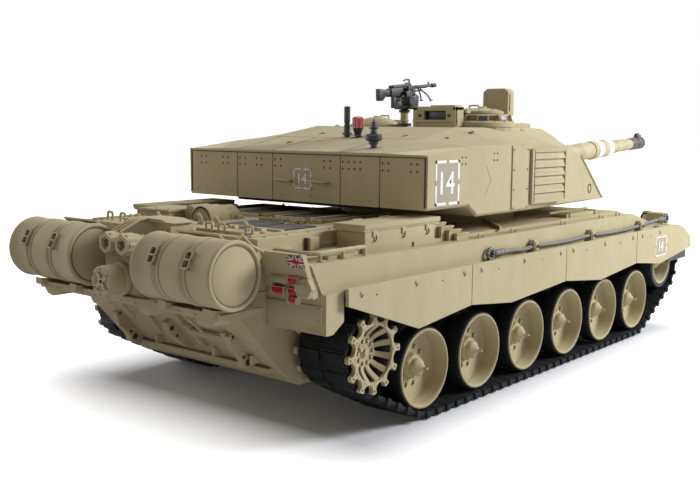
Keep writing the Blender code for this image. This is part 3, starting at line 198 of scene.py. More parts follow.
def lamp_plastic(name, colour, glow):
    """Clear-moulded tinted lens over a pale reflector: deep colour, glossy, faintly ribbed."""
    material, tree, place = new_finish(name)
    # The lighter tint on the crests of the ribs is painted light from the reflector behind the lens.
    ribs = add(tree, "ShaderNodeTexWave", {"Vector": place, "Scale": 300.0}, bands_direction="Z").outputs[1]
    return shaded(
        material, (colour, glow), ribs, ribs, (0.3, 0.0002), 0.18, {"IOR": 1.49, "Coat Weight": 0.6})


FINISHES = {
    "sand": (painted_abs("sand_painted_abs", "#B6AB88", "#ADA17D", 0.68), "sand"),
    "sand_gun": (painted_abs("sand_painted_tube", "#B6AB8A", "#ADA17F", 0.62), "sand"),
    "track": (black_polyamide(), "track_black"),
    "tyre": (tyre_rubber(), "track_black"),
    "cable": (stranded_cable(), "cable_steel"),
    "lamp_red": (lamp_plastic("red_lamp_lens", "#8E1420", "#D2303A"), "lamp_red"),
    "lamp_clear": (lamp_plastic("clear_lamp_lens", "#B9B7AE", "#F0EEE4"), "lamp_red"),
}
# Plain finishes: key, material, colour, rubbed colour, roughness, slot, and what else the shader is told.
MOULDED = (
    # The next two are painted shade: a dark one for gaps, holes, recesses and undersides where light doesn't
    # reach, and a fainter one for thin lines in grooves.
    ("shadow", "recess_shadow_wash", "#2B2618", "#3A3422", 0.8, "dark_plastic"),
    ("wash", "thin_umber_wash", "#6A6247", "#7A7154", 0.75, "sand"),
    ("inner_wheel", "unpainted_black_abs", "#1D1E1F", "#2C2D2E", 0.55, "track_black"),
    ("gunmetal", "gunmetal_enamel", "#1F2022", "#3B3D3F", 0.5, "dark_metal", {"Metallic": 0.2}),
    ("grille", "dark_grey_mesh_abs", "#3B3A38", "#56534E", 0.6, "dark_plastic"),
    ("black", "satin_black_abs", "#19191B", "#2B2B2E", 0.4, "dark_plastic"),
    ("lens", "smoked_optic_glass", "#0B0E12", "#12171C", 0.35, "dark_plastic"),
    ("white", "white_stencil_enamel", "#F1EFE6", "#DCD8C8", 0.55, "sand"),
    ("grey", "grey_stencil_enamel", "#9C947C", "#A49C84", 0.6, "sand"),
    ("red", "red_stencil_enamel", "#A3202C", "#B5404A", 0.5, "lamp_red"),
    ("blue", "blue_stencil_enamel", "#2B3560", "#3C4672", 0.5, "battery_blue"),
    ("muzzle", "dark_burnt_muzzle", "#4A4742", "#67635A", 0.5, "dark_metal", {"Metallic": 0.2}),
    ("board", "green_solder_mask", "#12503A", "#1B6348", 0.35, "board_green", {"Coat Weight": 0.4}),
)
for key, name, colour, worn, roughness, slot, *values in MOULDED:
    FINISHES[key] = (plain_moulding(
        name, colour, worn, roughness, values=values[0] if values else None), slot)


# --- shapes ---------------------------------------------------------------------------------

def moved(x, y, z):
    return Matrix.Translation((x, y, z))


def turned(angle, axis):
    return Matrix.Rotation(angle, 4, axis)


def along(axis):
    """Turn that lays a shape drawn along Z along another axis."""
    return {"X": turned(QUARTER, "Y"), "Y": turned(-QUARTER, "X"), "Z": Matrix()}[axis]


def soften(shape, width, least=0.5):
    """Round the sharp edges of a shape by a small width in millimetres."""
    edges = [e for e in shape.edges if e.is_manifold and e.calc_face_angle(0.0) > least]
    if edges and width > 0:
        bmesh.ops.bevel(shape, geom=edges, offset=width, offset_type="OFFSET", segments=2, profile=0.6,
                        affect="EDGES", clamp_overlap=True)
    return shape


def box(low, high, edge=0.25):
    shape = bmesh.new()
    middle = [(a + b) / 2 for a, b in zip(low, high)]
    size = [abs(b - a) for a, b in zip(low, high)]
    place = moved(*middle) @ Matrix.Diagonal((*size, 1.0))
    bmesh.ops.create_cube(shape, size=1.0, matrix=place)
    return soften(shape, min(edge, min(size) / 3))


def rod(centre, radius, length, axis="Z", sides=24, end_radius=None, edge=0.15):
    """Round bar or cone with its middle at centre, its second end towards +axis."""
    shape = bmesh.new()
    bmesh.ops.create_cone(
        shape, cap_ends=True, segments=sides, radius1=radius,
        radius2=radius if end_radius is None else end_radius, depth=length,
        matrix=moved(*centre) @ along(axis),
    )
    caps = [e for f in shape.faces if len(f.verts) > 4 for e in f.edges]
    if edge > 0 and caps:
        bmesh.ops.bevel(shape, geom=list(set(caps)), offset=min(edge, radius / 3, length / 3), segments=1,
                        affect="EDGES", clamp_overlap=True)
    return shape


def lathe(profile, sides=48, closed=False):
    """Turned body from (radius, height) points, drawn from the top of the axis outwards and down."""
    shape = bmesh.new()
    rings = []
    for radius, height in profile:
        if radius < 0.001:
            rings.append([shape.verts.new((0, 0, height))] * sides)
            continue
        turn = [2 * pi * k / sides for k in range(sides)]
        rings.append([shape.verts.new((radius * cos(t), radius * sin(t), height)) for t in turn])
    if closed:
        rings.append(rings[0])
    for upper, lower in zip(rings, rings[1:]):
        for k in range(sides):
            j = (k + 1) % sides
            corners = []
            for vert in (upper[j], upper[k], lower[k], lower[j]):
                if vert not in corners:
                    corners.append(vert)
            if len(corners) > 2:
                shape.faces.new(corners)
    bmesh.ops.recalc_face_normals(shape, faces=shape.faces)
    return shape


def slab(outline, low, high, plane="XZ", edge=0.25):
    """Flat outline pushed between two levels. XZ outlines run along Y, XY along Z, YZ along X."""
    order = {
        "XZ": lambda a, b, c: (a, c, b), "XY": lambda a, b, c: (a, b, c), "YZ": lambda a, b, c: (c, a, b)}
    shape = bmesh.new()
    ends = [[shape.verts.new(order[plane](a, b, level)) for a, b in outline] for level in (low, high)]
    for end in ends:
        shape.faces.new(end)
    for i in range(len(outline)):
        j = (i + 1) % len(outline)
        shape.faces.new((ends[0][i], ends[0][j], ends[1][j], ends[1][i]))
    bmesh.ops.recalc_face_normals(shape, faces=shape.faces)
    return soften(shape, edge)


def band(outer, inner, low, high, edge=0.0):
    """Flat ring between two loops of as many points, in the XY plane."""
    shape = bmesh.new()
    rows = [[shape.verts.new((x, y, z)) for x, y in loop] for loop in (outer, inner) for z in (low, high)]
    for a, b in ((0, 1), (1, 3), (3, 2), (2, 0)):
        for i in range(len(outer)):
            j = (i + 1) % len(outer)
            shape.faces.new((rows[a][i], rows[a][j], rows[b][j], rows[b][i]))
    bmesh.ops.recalc_face_normals(shape, faces=shape.faces)
    return soften(shape, edge)


def evaluated(drawn):
    """Plain geometry of a new object as a shape; the object itself is removed with its modifier."""
    bpy.context.scene.collection.objects.link(drawn)
    graph = bpy.context.evaluated_depsgraph_get()
    graph.update()
    mesh = bpy.data.meshes.new_from_object(drawn.evaluated_get(graph))
    bpy.data.objects.remove(drawn, do_unlink=True)
    shape = bmesh.new()
    shape.from_mesh(mesh)
    bpy.data.meshes.remove(mesh)
    return shape


def wire(points, radius, sides=10, closed=False):
    """Round bar that follows points, with its ends capped."""
    curve = bpy.data.curves.new("wire", "CURVE")
    curve.dimensions = "3D"
    curve.bevel_depth = radius
    curve.bevel_resolution = max(1, sides // 4)
    curve.use_fill_caps = True
    spline = curve.splines.new("POLY")
    spline.points.add(len(points) - 1)
    for point, place in zip(spline.points, points):
        point.co = (*place, 1.0)
    spline.use_cyclic_u = closed
    shape = evaluated(bpy.data.objects.new("wire", curve))
    bmesh.ops.remove_doubles(shape, verts=shape.verts, dist=0.001)
    bmesh.ops.recalc_face_normals(shape, faces=shape.faces)
    return shape


def rounded(points, radius, steps=4):
    """Path with each inner corner replaced by a short arc."""
    path = [Vector(points[0])]
    for before, corner, after in zip(points, points[1:], points[2:]):
        corner = Vector(corner)
        into = (Vector(before) - corner).normalized() * radius
        out = (Vector(after) - corner).normalized() * radius
        for k in range(steps + 1):
            t = k / steps
            path.append(corner + into * (1 - t) ** 2 + out * t ** 2)
    return path + [Vector(points[-1])]


def bent(points, corner, radius, sides=10):
    """Round bar along points, with its corners rounded."""
    return wire(rounded(points, corner), radius, sides)


def carried(node, edge=0.3):
    """Copy of a CAD piece in millimetres, its facets merged and its edges rounded a little."""
    shape = bmesh.new()
    shape.from_mesh(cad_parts[node].data)
    shape.transform(ROW.inverted())
    bmesh.ops.remove_doubles(shape, verts=shape.verts, dist=0.004)
    bmesh.ops.dissolve_limit(shape, angle_limit=radians(1.0), verts=shape.verts, edges=shape.edges)
    return soften(shape, edge, 0.6)


def mirrored(side):
    """Place that carries a shape drawn for the left to the given side."""
    return Matrix.Diagonal((1, side, 1, 1))


class Piece:
    """Shapes on one body, gathered into one object for each finish."""

    def __init__(self, name, body):
        self.name, self.body, self.shapes = name, body, {}

    def add(self, finish, *shapes, at=Matrix()):
        target = self.shapes.setdefault(finish, bmesh.new())
        for shape in shapes:
            part = bpy.data.meshes.new("part")
            shape.to_mesh(part)
            part.transform(at)
            if at.determinant() < 0:
                part.flip_normals()
            target.from_mesh(part)
            bpy.data.meshes.remove(part)

    def done(self, *replaced, smooth=35):
        for finish, shape in self.shapes.items():
            mesh = bpy.data.meshes.new(f"{self.name}_{finish}")
            shape.to_mesh(mesh)
            shape.free()
            mesh.transform(ROW)
            mesh.materials.clear()
            mesh.materials.append(FINISHES[finish][0])
            mesh.shade_smooth()
            mesh.set_sharp_from_angle(angle=radians(smooth))
            obj = bpy.data.objects.new(mesh.name, mesh)
            bpy.context.scene.collection.objects.link(obj)
            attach(obj, self.body)
        if replaced:
            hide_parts(*replaced)


# --- node trees for what repeats ------------------------------------------------------------

def new_tree(name, inputs):
    """Geometry tree with named inputs; returns it with the sockets where they come in."""
    tree = bpy.data.node_groups.new(name, "GeometryNodeTree")
    for title, kind, value in inputs:
        socket = tree.interface.new_socket(title, in_out="INPUT", socket_type="NodeSocket" + kind)
        if value is not None:
            socket.default_value = value
    tree.interface.new_socket("Geometry", in_out="OUTPUT", socket_type="NodeSocketGeometry")
    return tree, add(tree, "NodeGroupInput").outputs


def close_tree(tree, instances, finish):
    """End a tree in real geometry with its finish."""
    real = add(tree, "GeometryNodeRealizeInstances", {0: instances})
    painted = add(tree, "GeometryNodeSetMaterial", {0: real.outputs[0], "Material": finish})
    add(tree, "NodeGroupOutput", {0: painted.outputs[0]})
    return tree


def ring_tree():
    """Round or many-sided bolts, evenly spaced on a circle round Z."""
    tree, size = new_tree("bolt_ring", [
        ("Count", "Int", 8), ("Ring Radius", "Float", 10.0), ("Bolt Radius", "Float", 1.0),
        ("Bolt Height", "Float", 0.8), ("Sides", "Int", 6), ("Finish", "Material", None),
    ])
    circle = add(tree, "GeometryNodeMeshCircle", {0: size["Count"], 1: size["Ring Radius"]})
    bolt = add(tree, "GeometryNodeMeshCylinder", {
        "Vertices": size["Sides"], "Radius": size["Bolt Radius"], "Depth": size["Bolt Height"],
    })
    placed = add(tree, "GeometryNodeInstanceOnPoints", {0: circle.outputs[0], "Instance": bolt.outputs[0]})
    return close_tree(tree, placed.outputs[0], size["Finish"])


def row_tree():
    """Bars or blocks in a straight row, each a step on from the last."""
    tree, size = new_tree("block_row", [
        ("Count", "Int", 4), ("Start", "Vector", None), ("Step", "Vector", None),
        ("Block", "Vector", None), ("Tilt", "Vector", None), ("Finish", "Material", None),
    ])
    line = add(tree, "GeometryNodeMeshLine", {
        "Count": size["Count"], "Start Location": size["Start"], "Offset": size["Step"],
    })
    block = add(tree, "GeometryNodeMeshCube", {"Size": size["Block"]})
    turn = add(tree, "FunctionNodeEulerToRotation", {0: size["Tilt"]})
    placed = add(tree, "GeometryNodeInstanceOnPoints", {
        0: line.outputs[0], "Instance": block.outputs[0], "Rotation": turn.outputs[0],
    })
    return close_tree(tree, placed.outputs[0], size["Finish"])


def scatter_tree():
    """One pattern shape at each point of a mesh, turned by the point's own attribute."""
    tree, size = new_tree("pattern_at_points", [
        ("Points", "Geometry", None), ("Pattern", "Object", None), ("Size", "Float", 1.0),
        ("Finish", "Material", None),
    ])
    pattern = add(tree, "GeometryNodeObjectInfo", {0: size["Pattern"]})
    turn = add(tree, "GeometryNodeInputNamedAttribute", {"Name": "turn"}, data_type="FLOAT_VECTOR")
    spin = add(tree, "FunctionNodeEulerToRotation", {0: turn.outputs[0]})
    placed = add(tree, "GeometryNodeInstanceOnPoints", {
        0: size["Points"], "Instance": pattern.outputs["Geometry"], "Rotation": spin.outputs[0],
        "Scale": size["Size"],
    })
    return close_tree(tree, placed.outputs[0], size["Finish"])


TREES = {"ring": ring_tree(), "row": row_tree(), "scatter": scatter_tree()}


def grown(kind, values, points=None):
    """Shape that a tree makes from its named sizes, as plain geometry."""
    tree = TREES[kind]
    holder = bpy.data.objects.new(kind, points or bpy.data.meshes.new(kind))
    modifier = holder.modifiers.new(kind, "NODES")
    modifier.node_group = tree
    values = {"Finish": FINISHES["sand"][0], **values}
    for socket in tree.interface.items_tree:
        if socket.in_out == "INPUT" and socket.name in values:
            modifier[socket.identifier] = values[socket.name]
    return evaluated(holder)


def bolts(count, ring, radius, height, sides):
    """Bolt heads evenly spaced on a circle round Z."""
    return grown("ring", {"Count": count, "Ring Radius": ring, "Bolt Radius": radius,
                          "Bolt Height": height, "Sides": sides})


def bars(count, start, step, block, tilt=0.0):
    """Equal blocks in a row, each tilted about X by some degrees."""
    return grown("row", {"Count": count, "Start": start, "Step": step, "Block": block,
                         "Tilt": (radians(tilt), 0, 0)})


def scattered(pattern, places):
    """A pattern shape repeated at (place, euler) pairs by the scatter tree."""
    mesh = bpy.data.meshes.new("pattern")
    pattern.to_mesh(mesh)
    source = bpy.data.objects.new("pattern", mesh)
    bpy.context.scene.collection.objects.link(source)
    points = bpy.data.meshes.new("points")
    points.from_pydata([tuple(place) for place, _ in places], [], [])
    turns = points.attributes.new("turn", "FLOAT_VECTOR", "POINT")
    for item, (_, turn) in zip(turns.data, places):
        item.vector = tuple(turn)
    shape = grown("scatter", {"Pattern": source, "Size": 1.0}, points)
    bpy.data.objects.remove(source, do_unlink=True)
    return shape


FACING = {
    "up": (0, 0, 0), "right": (QUARTER, 0, 0), "left": (-QUARTER, 0, 0),
    "rear": (0, -QUARTER, 0),
}


def studs(places, facing, radius=0.7, height=0.5, sides=8):
    """Round heads at the given places, standing out of the face that looks the given way."""
    head = rod((0, 0, height / 2 - 0.15), radius, height + 0.3, "Z", sides, radius * 0.8, 0)
    return scattered(head, [(place, FACING[facing]) for place in places])


# --- tracks ---------------------------------------------------------------------------------

def belt_offset(radius):
    return hypot(radius + PIN_THICK / 2 + 0.3, PITCH / 2) - radius


def pin_places():
    """Pins of one loop, a pitch apart, round the sprocket, the end wheels and the idler."""
    wrap = WHEEL_R + belt_offset(WHEEL_R)
    circles = [
        (SPROCKET_X, SPROCKET_Z, PITCH / (2 * sin(pi / TEETH))),
        (0.0, WHEEL_Z, wrap),
        ((WHEELS - 1) * WHEEL_STEP, WHEEL_Z, wrap),
        (IDLER_X, IDLER_Z, IDLER_R + belt_offset(IDLER_R)),
    ]

    def leaving_angle(i):
        (x0, z0, r0), (x1, z1, r1) = circles[i], circles[(i + 1) % 4]
        heading = atan2(z1 - z0, x1 - x0)
        return heading - QUARTER + asin((r0 - r1) / hypot(x1 - x0, z1 - z0))

    path = []
    for i, (x, z, radius) in enumerate(circles):
        start = leaving_angle(i - 1)
        sweep = (leaving_angle(i) - start) % (2 * pi)
        for k in range(81):
            angle = start + sweep * k / 80
            path.append((x + radius * cos(angle), z + radius * sin(angle)))
    lengths = [0.0]
    for (x0, z0), (x1, z1) in zip(path, path[1:] + path[:1]):
        lengths.append(lengths[-1] + hypot(x1 - x0, z1 - z0))
    total = lengths[-1]
    count = 4 * round(total / PITCH / 4)
    rearmost = min(range(len(path)), key=lambda i: path[i][0])
    places, i = [], 0
    for target in sorted((lengths[rearmost] + (k + 0.5) * total / count) % total for k in range(count)):
        while lengths[i + 1] <= target:
            i += 1
        part = (target - lengths[i]) / (lengths[i + 1] - lengths[i])
        (x0, z0), (x1, z1) = path[i], path[(i + 1) % len(path)]
        places.append((x0 + (x1 - x0) * part, z0 + (z1 - z0) * part))
    return places


def joined(*shapes):
    """Several shapes as one, for a pattern."""
    whole = bmesh.new()
    for shape in shapes:
        part = bpy.data.meshes.new("part")
        shape.to_mesh(part)
        whole.from_mesh(part)
        bpy.data.meshes.remove(part)
    return whole


def link_shape(half, pad):
    """Pad of one link, x along the track and z towards the wheels: two rubber blocks on a web."""
    web = slab([
        (-5.0, -0.7), (-4.3, -1.6), (4.3, -1.6), (5.0, -0.7), (5.0, 0.9),
        (-5.0, 0.9)], -half, half, "XZ", 0.2)
    blocks = [
        slab([(-3.5, -1.3), (3.5, -1.3), (2.9, -2.8), (-2.9, -2.8)], y0, y1, "XZ", 0.25)
        for y0, y1 in ((1.3, pad), (-pad, -1.3))
    ]
    return joined(web, *blocks)


def horn_shape():
    return slab([(-3.2, 0.8), (3.2, 0.8), (1.9, 6.0), (-1.9, 6.0)], -2.3, 2.3, "XZ", 0.4)


def build_tracks():
    """Links on their pins; beside the sprocket they end short of its teeth."""
    pins = pin_places()
    tooth_reach, pin_radius = 26.5, 1.15
    # Half widths of a web and its pads, and the pin's length: whole, and cut short beside the sprocket.
    whole, short = (18.7, 17.6, 39.4), (16.4, 15.9, 33.2)
    links, horns, joints = {True: [], False: []}, [], {True: [], False: []}
    for i, (x, z) in enumerate(pins):
        nx, nz = pins[(i + 1) % len(pins)]
        turn = (0.0, -atan2(nz - z, nx - x), 0.0)
        middle = ((x + nx) / 2, 0.0, (z + nz) / 2)
        links[hypot(middle[0] - SPROCKET_X, middle[2] - SPROCKET_Z) < tooth_reach].append((middle, turn))
        joints[hypot(x - SPROCKET_X, z - SPROCKET_Z) < tooth_reach - 1.5].append(((x, 0.0, z), turn))
        if i % 4 == 0:
            horns.append((middle, turn))
    connectors = [box((-1.9, y0, -2.2), (1.9, y1, 1.6), 0.5) for y0, y1 in ((17.8, 20.0), (-20.0, -17.8))]
    patterns = [
        (link_shape(*whole[:2]), links[False]), (link_shape(*short[:2]), links[True]), (horn_shape(), horns),
        (joined(rod((0, 0, 0), pin_radius, whole[2], "Y", 8, edge=0.2), *connectors), joints[False]),
        (rod((0, 0, 0), pin_radius, short[2], "Y", 8, edge=0.2), joints[True]),
    ]
    for side, sign in SIDES:
        piece = Piece("track_links_" + side, "hull")
        place = moved(0, sign * TRACK_Y, 0)
        for pattern, places in patterns:
            piece.add("track", scattered(pattern, places), at=place)
        piece.done("track_" + side)


# --- wheels ---------------------------------------------------------------------------------

def wheel_place(x, z, sign):
    """From an upright wheel with its outer face up, to the axle at x, z on one side."""
    return moved(x, sign * TRACK_Y, z) @ turned(-QUARTER * sign, "X")


def hub_shape(base):
    """Bearing housing in the dish: a hexagonal flange, a cap, and a filler nipple on its point."""
    flange = rod((0, 0, base + 1.9), 8.1, 3.8, "Z", 6, 7.6, 0.5)
    cap = lathe([
        (0, base + 10.9), (1.0, base + 10.6), (4.3, base + 7.4), (5.0, base + 6.9), (5.3, base + 6.1),
        (5.3, base + 1.0), (0, base + 1.0)], 28)
    nipple = lathe([
        (0, base + 13.4), (0.7, base + 13.1), (0.9, base + 12.2), (0.9, base + 8.0), (0, base + 8.0)], 12)
    return joined(flange, cap, nipple)


def dished_disc(rim, floor):
    """Pressed disc inside a rim: a bright rolled lip, a steep wall, and a floor that falls to the hub."""
    half = WHEEL_HALF
    return lathe([
        (0, floor), (rim - 4.6, floor + 0.5), (rim - 3.4, floor + 0.8), (rim - 2.8, floor + 1.5),
        (rim - 2.0, half - 1.4), (rim - 1.7, half - 0.4), (rim - 1.1, half + 0.1), (rim - 0.3, half),
        (rim, half - 0.6), (rim, half - 2.5), (rim - 2.6, floor - 1.0), (0, floor - 1.0),
    ], 64)


def build_wheels():
    half = WHEEL_HALF
    floor = half - DISH
    tyre_profile = [
        (WHEEL_R - 1.3, half - 0.9), (WHEEL_R - 0.9, half - 0.7), (WHEEL_R - 0.4, half - 0.7),
        (WHEEL_R - 0.1, half - 1.1), (WHEEL_R, half - 2.4), (WHEEL_R, GROOVE + 1.0),
        (WHEEL_R - 0.5, GROOVE + 0.2), (WHEEL_R - 2.6, GROOVE + 0.1), (WHEEL_R - 2.6, half - 3.0),
        (WHEEL_R - 1.3, half - 2.0)]
    for side, sign in SIDES:
        for i in range(WHEELS):
            piece = Piece(f"wheel_{side}_{i + 1}_parts", f"wheel_{side}_{i + 1}")
            place = wheel_place(i * WHEEL_STEP, WHEEL_Z, sign)
            for facing in (place, place @ turned(pi, "X")):
                piece.add("tyre", lathe(tyre_profile, 64, True), at=facing)
            rim = WHEEL_R - 2.5
            piece.add("sand", dished_disc(WHEEL_R - 1.0, floor), hub_shape(floor), at=place)
            # Wheel nuts in a ring round the hub, each in a dark seat.
            piece.add("sand", bolts(10, 11.6, 0.95, 2.2, 6), at=place @ moved(0, 0, floor + 0.6))
            piece.add("shadow", bolts(10, 11.6, 1.45, 0.5, 16), at=place @ moved(0, 0, floor + 0.15))
            inner = lathe([
                (rim - 0.2, GROOVE), (rim - 4.2, GROOVE), (rim - 4.2, -GROOVE),
                (rim - 0.2, -GROOVE), (rim - 0.2, -half + 0.6), (rim - 1.4, -half), (rim - 3.0, -half),
                (rim - 4.0, -half + 3.0), (2.4, -half + 3.0), (2.4, floor - 2.0), (rim - 3.0, floor - 2.0),
            ], 48, True)
            piece.add("inner_wheel", inner, at=place)
            piece.done(f"road_wheel_{side}_{i + 1}")
        piece = Piece(f"idler_{side}_parts", f"idler_{side}")
        place = wheel_place(IDLER_X, IDLER_Z, sign)
        # The idler has the same pressed disc inside a plain black rim.
        piece.add("inner_wheel", lathe([
            (IDLER_R - 3.4, half - 0.6), (IDLER_R - 0.6, half - 0.1), (IDLER_R, half - 0.9),
            (IDLER_R, GROOVE), (IDLER_R - 6, GROOVE), (IDLER_R - 6, -GROOVE), (IDLER_R, -GROOVE),
            (IDLER_R, -half + 0.8), (IDLER_R - 0.8, -half), (IDLER_R - 4, -half), (IDLER_R - 5, -half + 3.0),
            (2.4, -half + 3.0), (2.4, floor - 2.0), (IDLER_R - 5.4, floor - 2.0),
            (IDLER_R - 3.4, half - 3.0)], 56, True), at=place)
        piece.add("sand", dished_disc(IDLER_R - 3.4, floor), hub_shape(floor), at=place)
        piece.add("sand", bolts(8, 9.6, 0.9, 2.0, 6), at=place @ moved(0, 0, floor + 0.6))
        piece.done(f"idler_{side}")


def tooth_loop():
    """Outline of a toothed ring: teeth with a swollen tip, each midway between two pins."""
    points = []
    step = 2 * pi / TEETH
    for k in range(TEETH):
        middle = pi + step * k
        for radius, across in (
            (TOOTH_ROOT, -TOOTH_HALF), (17.4, -3.2), (18.4, -2.1), (19.8, -1.6), (21.0, -1.8), (21.8, -2.1),
            (22.4, -1.2),
            (22.5, 0.0), (22.4, 1.2), (21.8, 2.1), (21.0, 1.8), (19.8, 1.6), (18.4, 2.1), (17.4, 3.2),
        ):
            angle = middle + across / radius
            points.append((radius * cos(angle), radius * sin(angle)))
    return points


def ring_loop(radius, count):
    """Points of a plain circle, one for each point of the toothed outline."""
    offset = pi - TOOTH_HALF / TOOTH_ROOT
    return [
        (radius * cos(offset + 2 * pi * k / count), radius * sin(offset + 2 * pi * k / count))
        for k in range(count)
    ]


def spoke_shape(outer):
    """One spoke of the drive wheel: a flat web that curves down from the ring to the sunken hub."""
    shape = bmesh.new()
    rows = []
    ring, run, sink = 16.4, 8.2, 6.0
    for k in range(9):
        t = k / 8
        radius = ring - run * t
        drop = outer - 0.9 - sink * sin(t * pi / 2) ** 1.3
        width = 2.0 - 0.75 * t
        rows.append([
            shape.verts.new((radius, side * width, drop - depth))
            for side, depth in ((-1, 0), (1, 0), (1, 2.2), (-1, 2.2))])
    for upper, lower in zip(rows, rows[1:]):
        for k in range(4):
            j = (k + 1) % 4
            shape.faces.new((upper[k], upper[j], lower[j], lower[k]))
    shape.faces.new(rows[0][::-1])
    shape.faces.new(rows[-1])
    bmesh.ops.recalc_face_normals(shape, faces=shape.faces)
    return soften(shape, 0.3, 0.7)


def build_sprockets():
    outer = TRACK_HALF - 0.4
    teeth = tooth_loop()
    for side, sign in SIDES:
        piece = Piece(f"sprocket_{side}_parts", f"sprocket_{side}")
        place = wheel_place(SPROCKET_X, SPROCKET_Z, sign)
        for low, high in ((outer - 2.6, outer), (-outer, 2.6 - outer)):
            piece.add("sand", band(teeth, ring_loop(15.7, len(teeth)), low, high, 0.22), at=place)
        # Seats and bolts at the roots of the teeth, then bolts and their seats on the hub.
        for count, radius, size, height, level, sides, finish in (
            (12, 20.6, 0.55, 0.3, outer + 0.02, 12, "shadow"), (12, 16.5, 0.6, 0.5, outer + 0.1, 6, "sand"),
            (10, 6.3, 0.85, 1.2, outer - 6.7, 6, "sand"), (10, 6.3, 1.2, 0.3, outer - 6.95, 14, "shadow"),
        ):
            piece.add(finish, bolts(count, radius, size, height, sides), at=place @ moved(0, 0, level))
        spokes = scattered(spoke_shape(outer), [
            ((0, 0, 0), (0, 0, pi * (2 * k + 1) / TEETH)) for k in range(TEETH)
        ])
        piece.add(
            "sand", spokes,
            lathe([
                (0, outer - 6.8), (3.3, outer - 6.8), (3.6, outer - 7.4), (4.5, outer - 7.4),
                (4.8, outer - 7.0), (8.3, outer - 7.0), (8.8, outer - 7.5), (8.8, outer - 10.5),
                (0, outer - 10.5)], 36),
            lathe([
                (0, outer - 5.4), (1.9, outer - 5.5), (2.2, outer - 6.0), (2.2, outer - 7.2),
                (0, outer - 7.2)], 20),
            rod((-4.0, -2.0 * sign, outer - 6.4), 1.3, 1.2, "Z", 16), at=place)
        # The drum behind the spokes is black, a painted shade, so that the gaps between the spokes read dark.
        drum = lathe([
            (15.5, outer - 1.6), (16.2, outer - 1.9), (16.2, 4.0), (12.8, 4.0), (12.8, -4.0), (15.9, -4.0),
            (15.9, 2.0 - outer), (13.0, 1.6 - outer), (12.0, 5.0 - outer), (7.0, 6.0 - outer),
            (0, 6.0 - outer), (0, outer - 14.0), (13.4, outer - 14.0), (15.2, outer - 9.0)], 48, True)
        piece.add("inner_wheel", drum, at=place)
        # The shaft reaches from the drum into the gearbox.
        gearbox_y, seated = 68.0, 9.4
        reach = TRACK_Y - gearbox_y + seated
        piece.add("gunmetal", rod((0, 0, -reach / 2 - 3), 3.9, reach - 6, "Z", 20), at=place)
        piece.done(f"sprocket_{side}")


def build_arms():
    for side, sign in SIDES:
        for i in range(WHEELS):
            node = f"swing_arm_{side}_{i + 1}"
            piece = Piece(f"arm_{side}_{i + 1}_parts", f"arm_{side}_{i + 1}")
            piece.add("gunmetal", carried(node, 0.4))
            piece.done(node)


build_tracks()
build_wheels()
build_sprockets()
build_arms()


# --- hull -----------------------------------------------------------------------------------

BOTH = (Matrix(), mirrored(-1))


def on_face(origin, right, up):
    """Place for a marking drawn in the XY plane: its origin, and where its x and y point."""
    out = Vector(right).cross(Vector(up))
    return moved(*origin) @ Matrix((right, up, out)).transposed().to_4x4()


RIGHT_FACE = ((1, 0, 0), (0, 0, 1))
LEFT_FACE = ((-1, 0, 0), (0, 0, 1))
REAR_FACE = ((0, -1, 0), (0, 0, 1))


def bracket_loop(width, height, radius, bar=0.8):
    """Grab handle: a bar bent twice, drawn in the XZ plane with its feet at z 0."""
    return bent([
        (-width / 2, 0, -0.6), (-width / 2, 0, height), (width / 2, 0, height),
        (width / 2, 0, -0.6)], radius, bar, 8)


def digits_shape(text, height):
    """Bold plain digits as a thin flat shape, centred on the origin and facing up."""
    curve = bpy.data.curves.new("digits", "FONT")
    curve.body = text
    curve.align_x, curve.align_y = "CENTER", "CENTER"
    curve.size, curve.offset, curve.extrude = height * 1.35, height * 0.018, 0.06
    curve.resolution_u = 4
    shape = evaluated(bpy.data.objects.new("digits", curve))
    xs, ys = [v.co.x for v in shape.verts], [v.co.y for v in shape.verts]
    shape.transform(moved(-(min(xs) + max(xs)) / 2, -(min(ys) + max(ys)) / 2, 0.17))
    return shape


def rectangle(w, h):
    return [(-w, -h), (w, -h), (w, h), (-w, h)]


def number_panel(piece, place, width, height):
    """Call-sign panel: a grey field, a white border broken at the middle of each side, and digits."""
    w, h = width / 2, height / 2
    border = min(width, height) * 0.065
    gap = border * 0.9
    piece.add("grey", slab(rectangle(w, h), 0.03, 0.12, "XY", 0), at=place)
    for sx in (-1, 1):
        for sy in (-1, 1):
            for x0, y0, x1, y1 in ((gap, h - border, w, h), (w - border, gap, w, h)):
                outline = [(sx * x0, sy * y0), (sx * x1, sy * y0), (sx * x1, sy * y1), (sx * x0, sy * y1)]
                piece.add("white", slab(outline, 0.05, 0.2, "XY", 0), at=place)
    piece.add("white", digits_shape(CALL_SIGN, height * 0.52), at=place)


def nearer_plate(x, z):
    """Place along the tank of a point on the towing gear, at half its distance behind the rear plate."""
    plate = -118.0 + (76.5 - z) * 36.0 / 39.5
    return plate + (x - plate) * 0.5 if x < plate - 0.5 else x


def build_hull_shells():
    piece = Piece("hull_shells", "hull")
    tub = carried("hull_tub")
    # Hooks, lug and bar lie closer to the sloping plate than in the plain solid.
    for vert in tub.verts:
        if vert.co.z < 62.0 and abs(vert.co.y) < 60.0:
            vert.co.x = nearer_plate(vert.co.x, vert.co.z)
    # The drums' beam ends under the drums, so that their clamps carry on past it.
    for vert in tub.verts:
        if vert.co.x < -104.5 and abs(vert.co.y) > 86.0 and vert.co.z > 74.0:
            vert.co.y = copysign(BEAM_END, vert.co.y)
    piece.add("sand", tub, carried("hull_deck"))
    piece.done("hull_tub", "hull_deck", smooth=10)


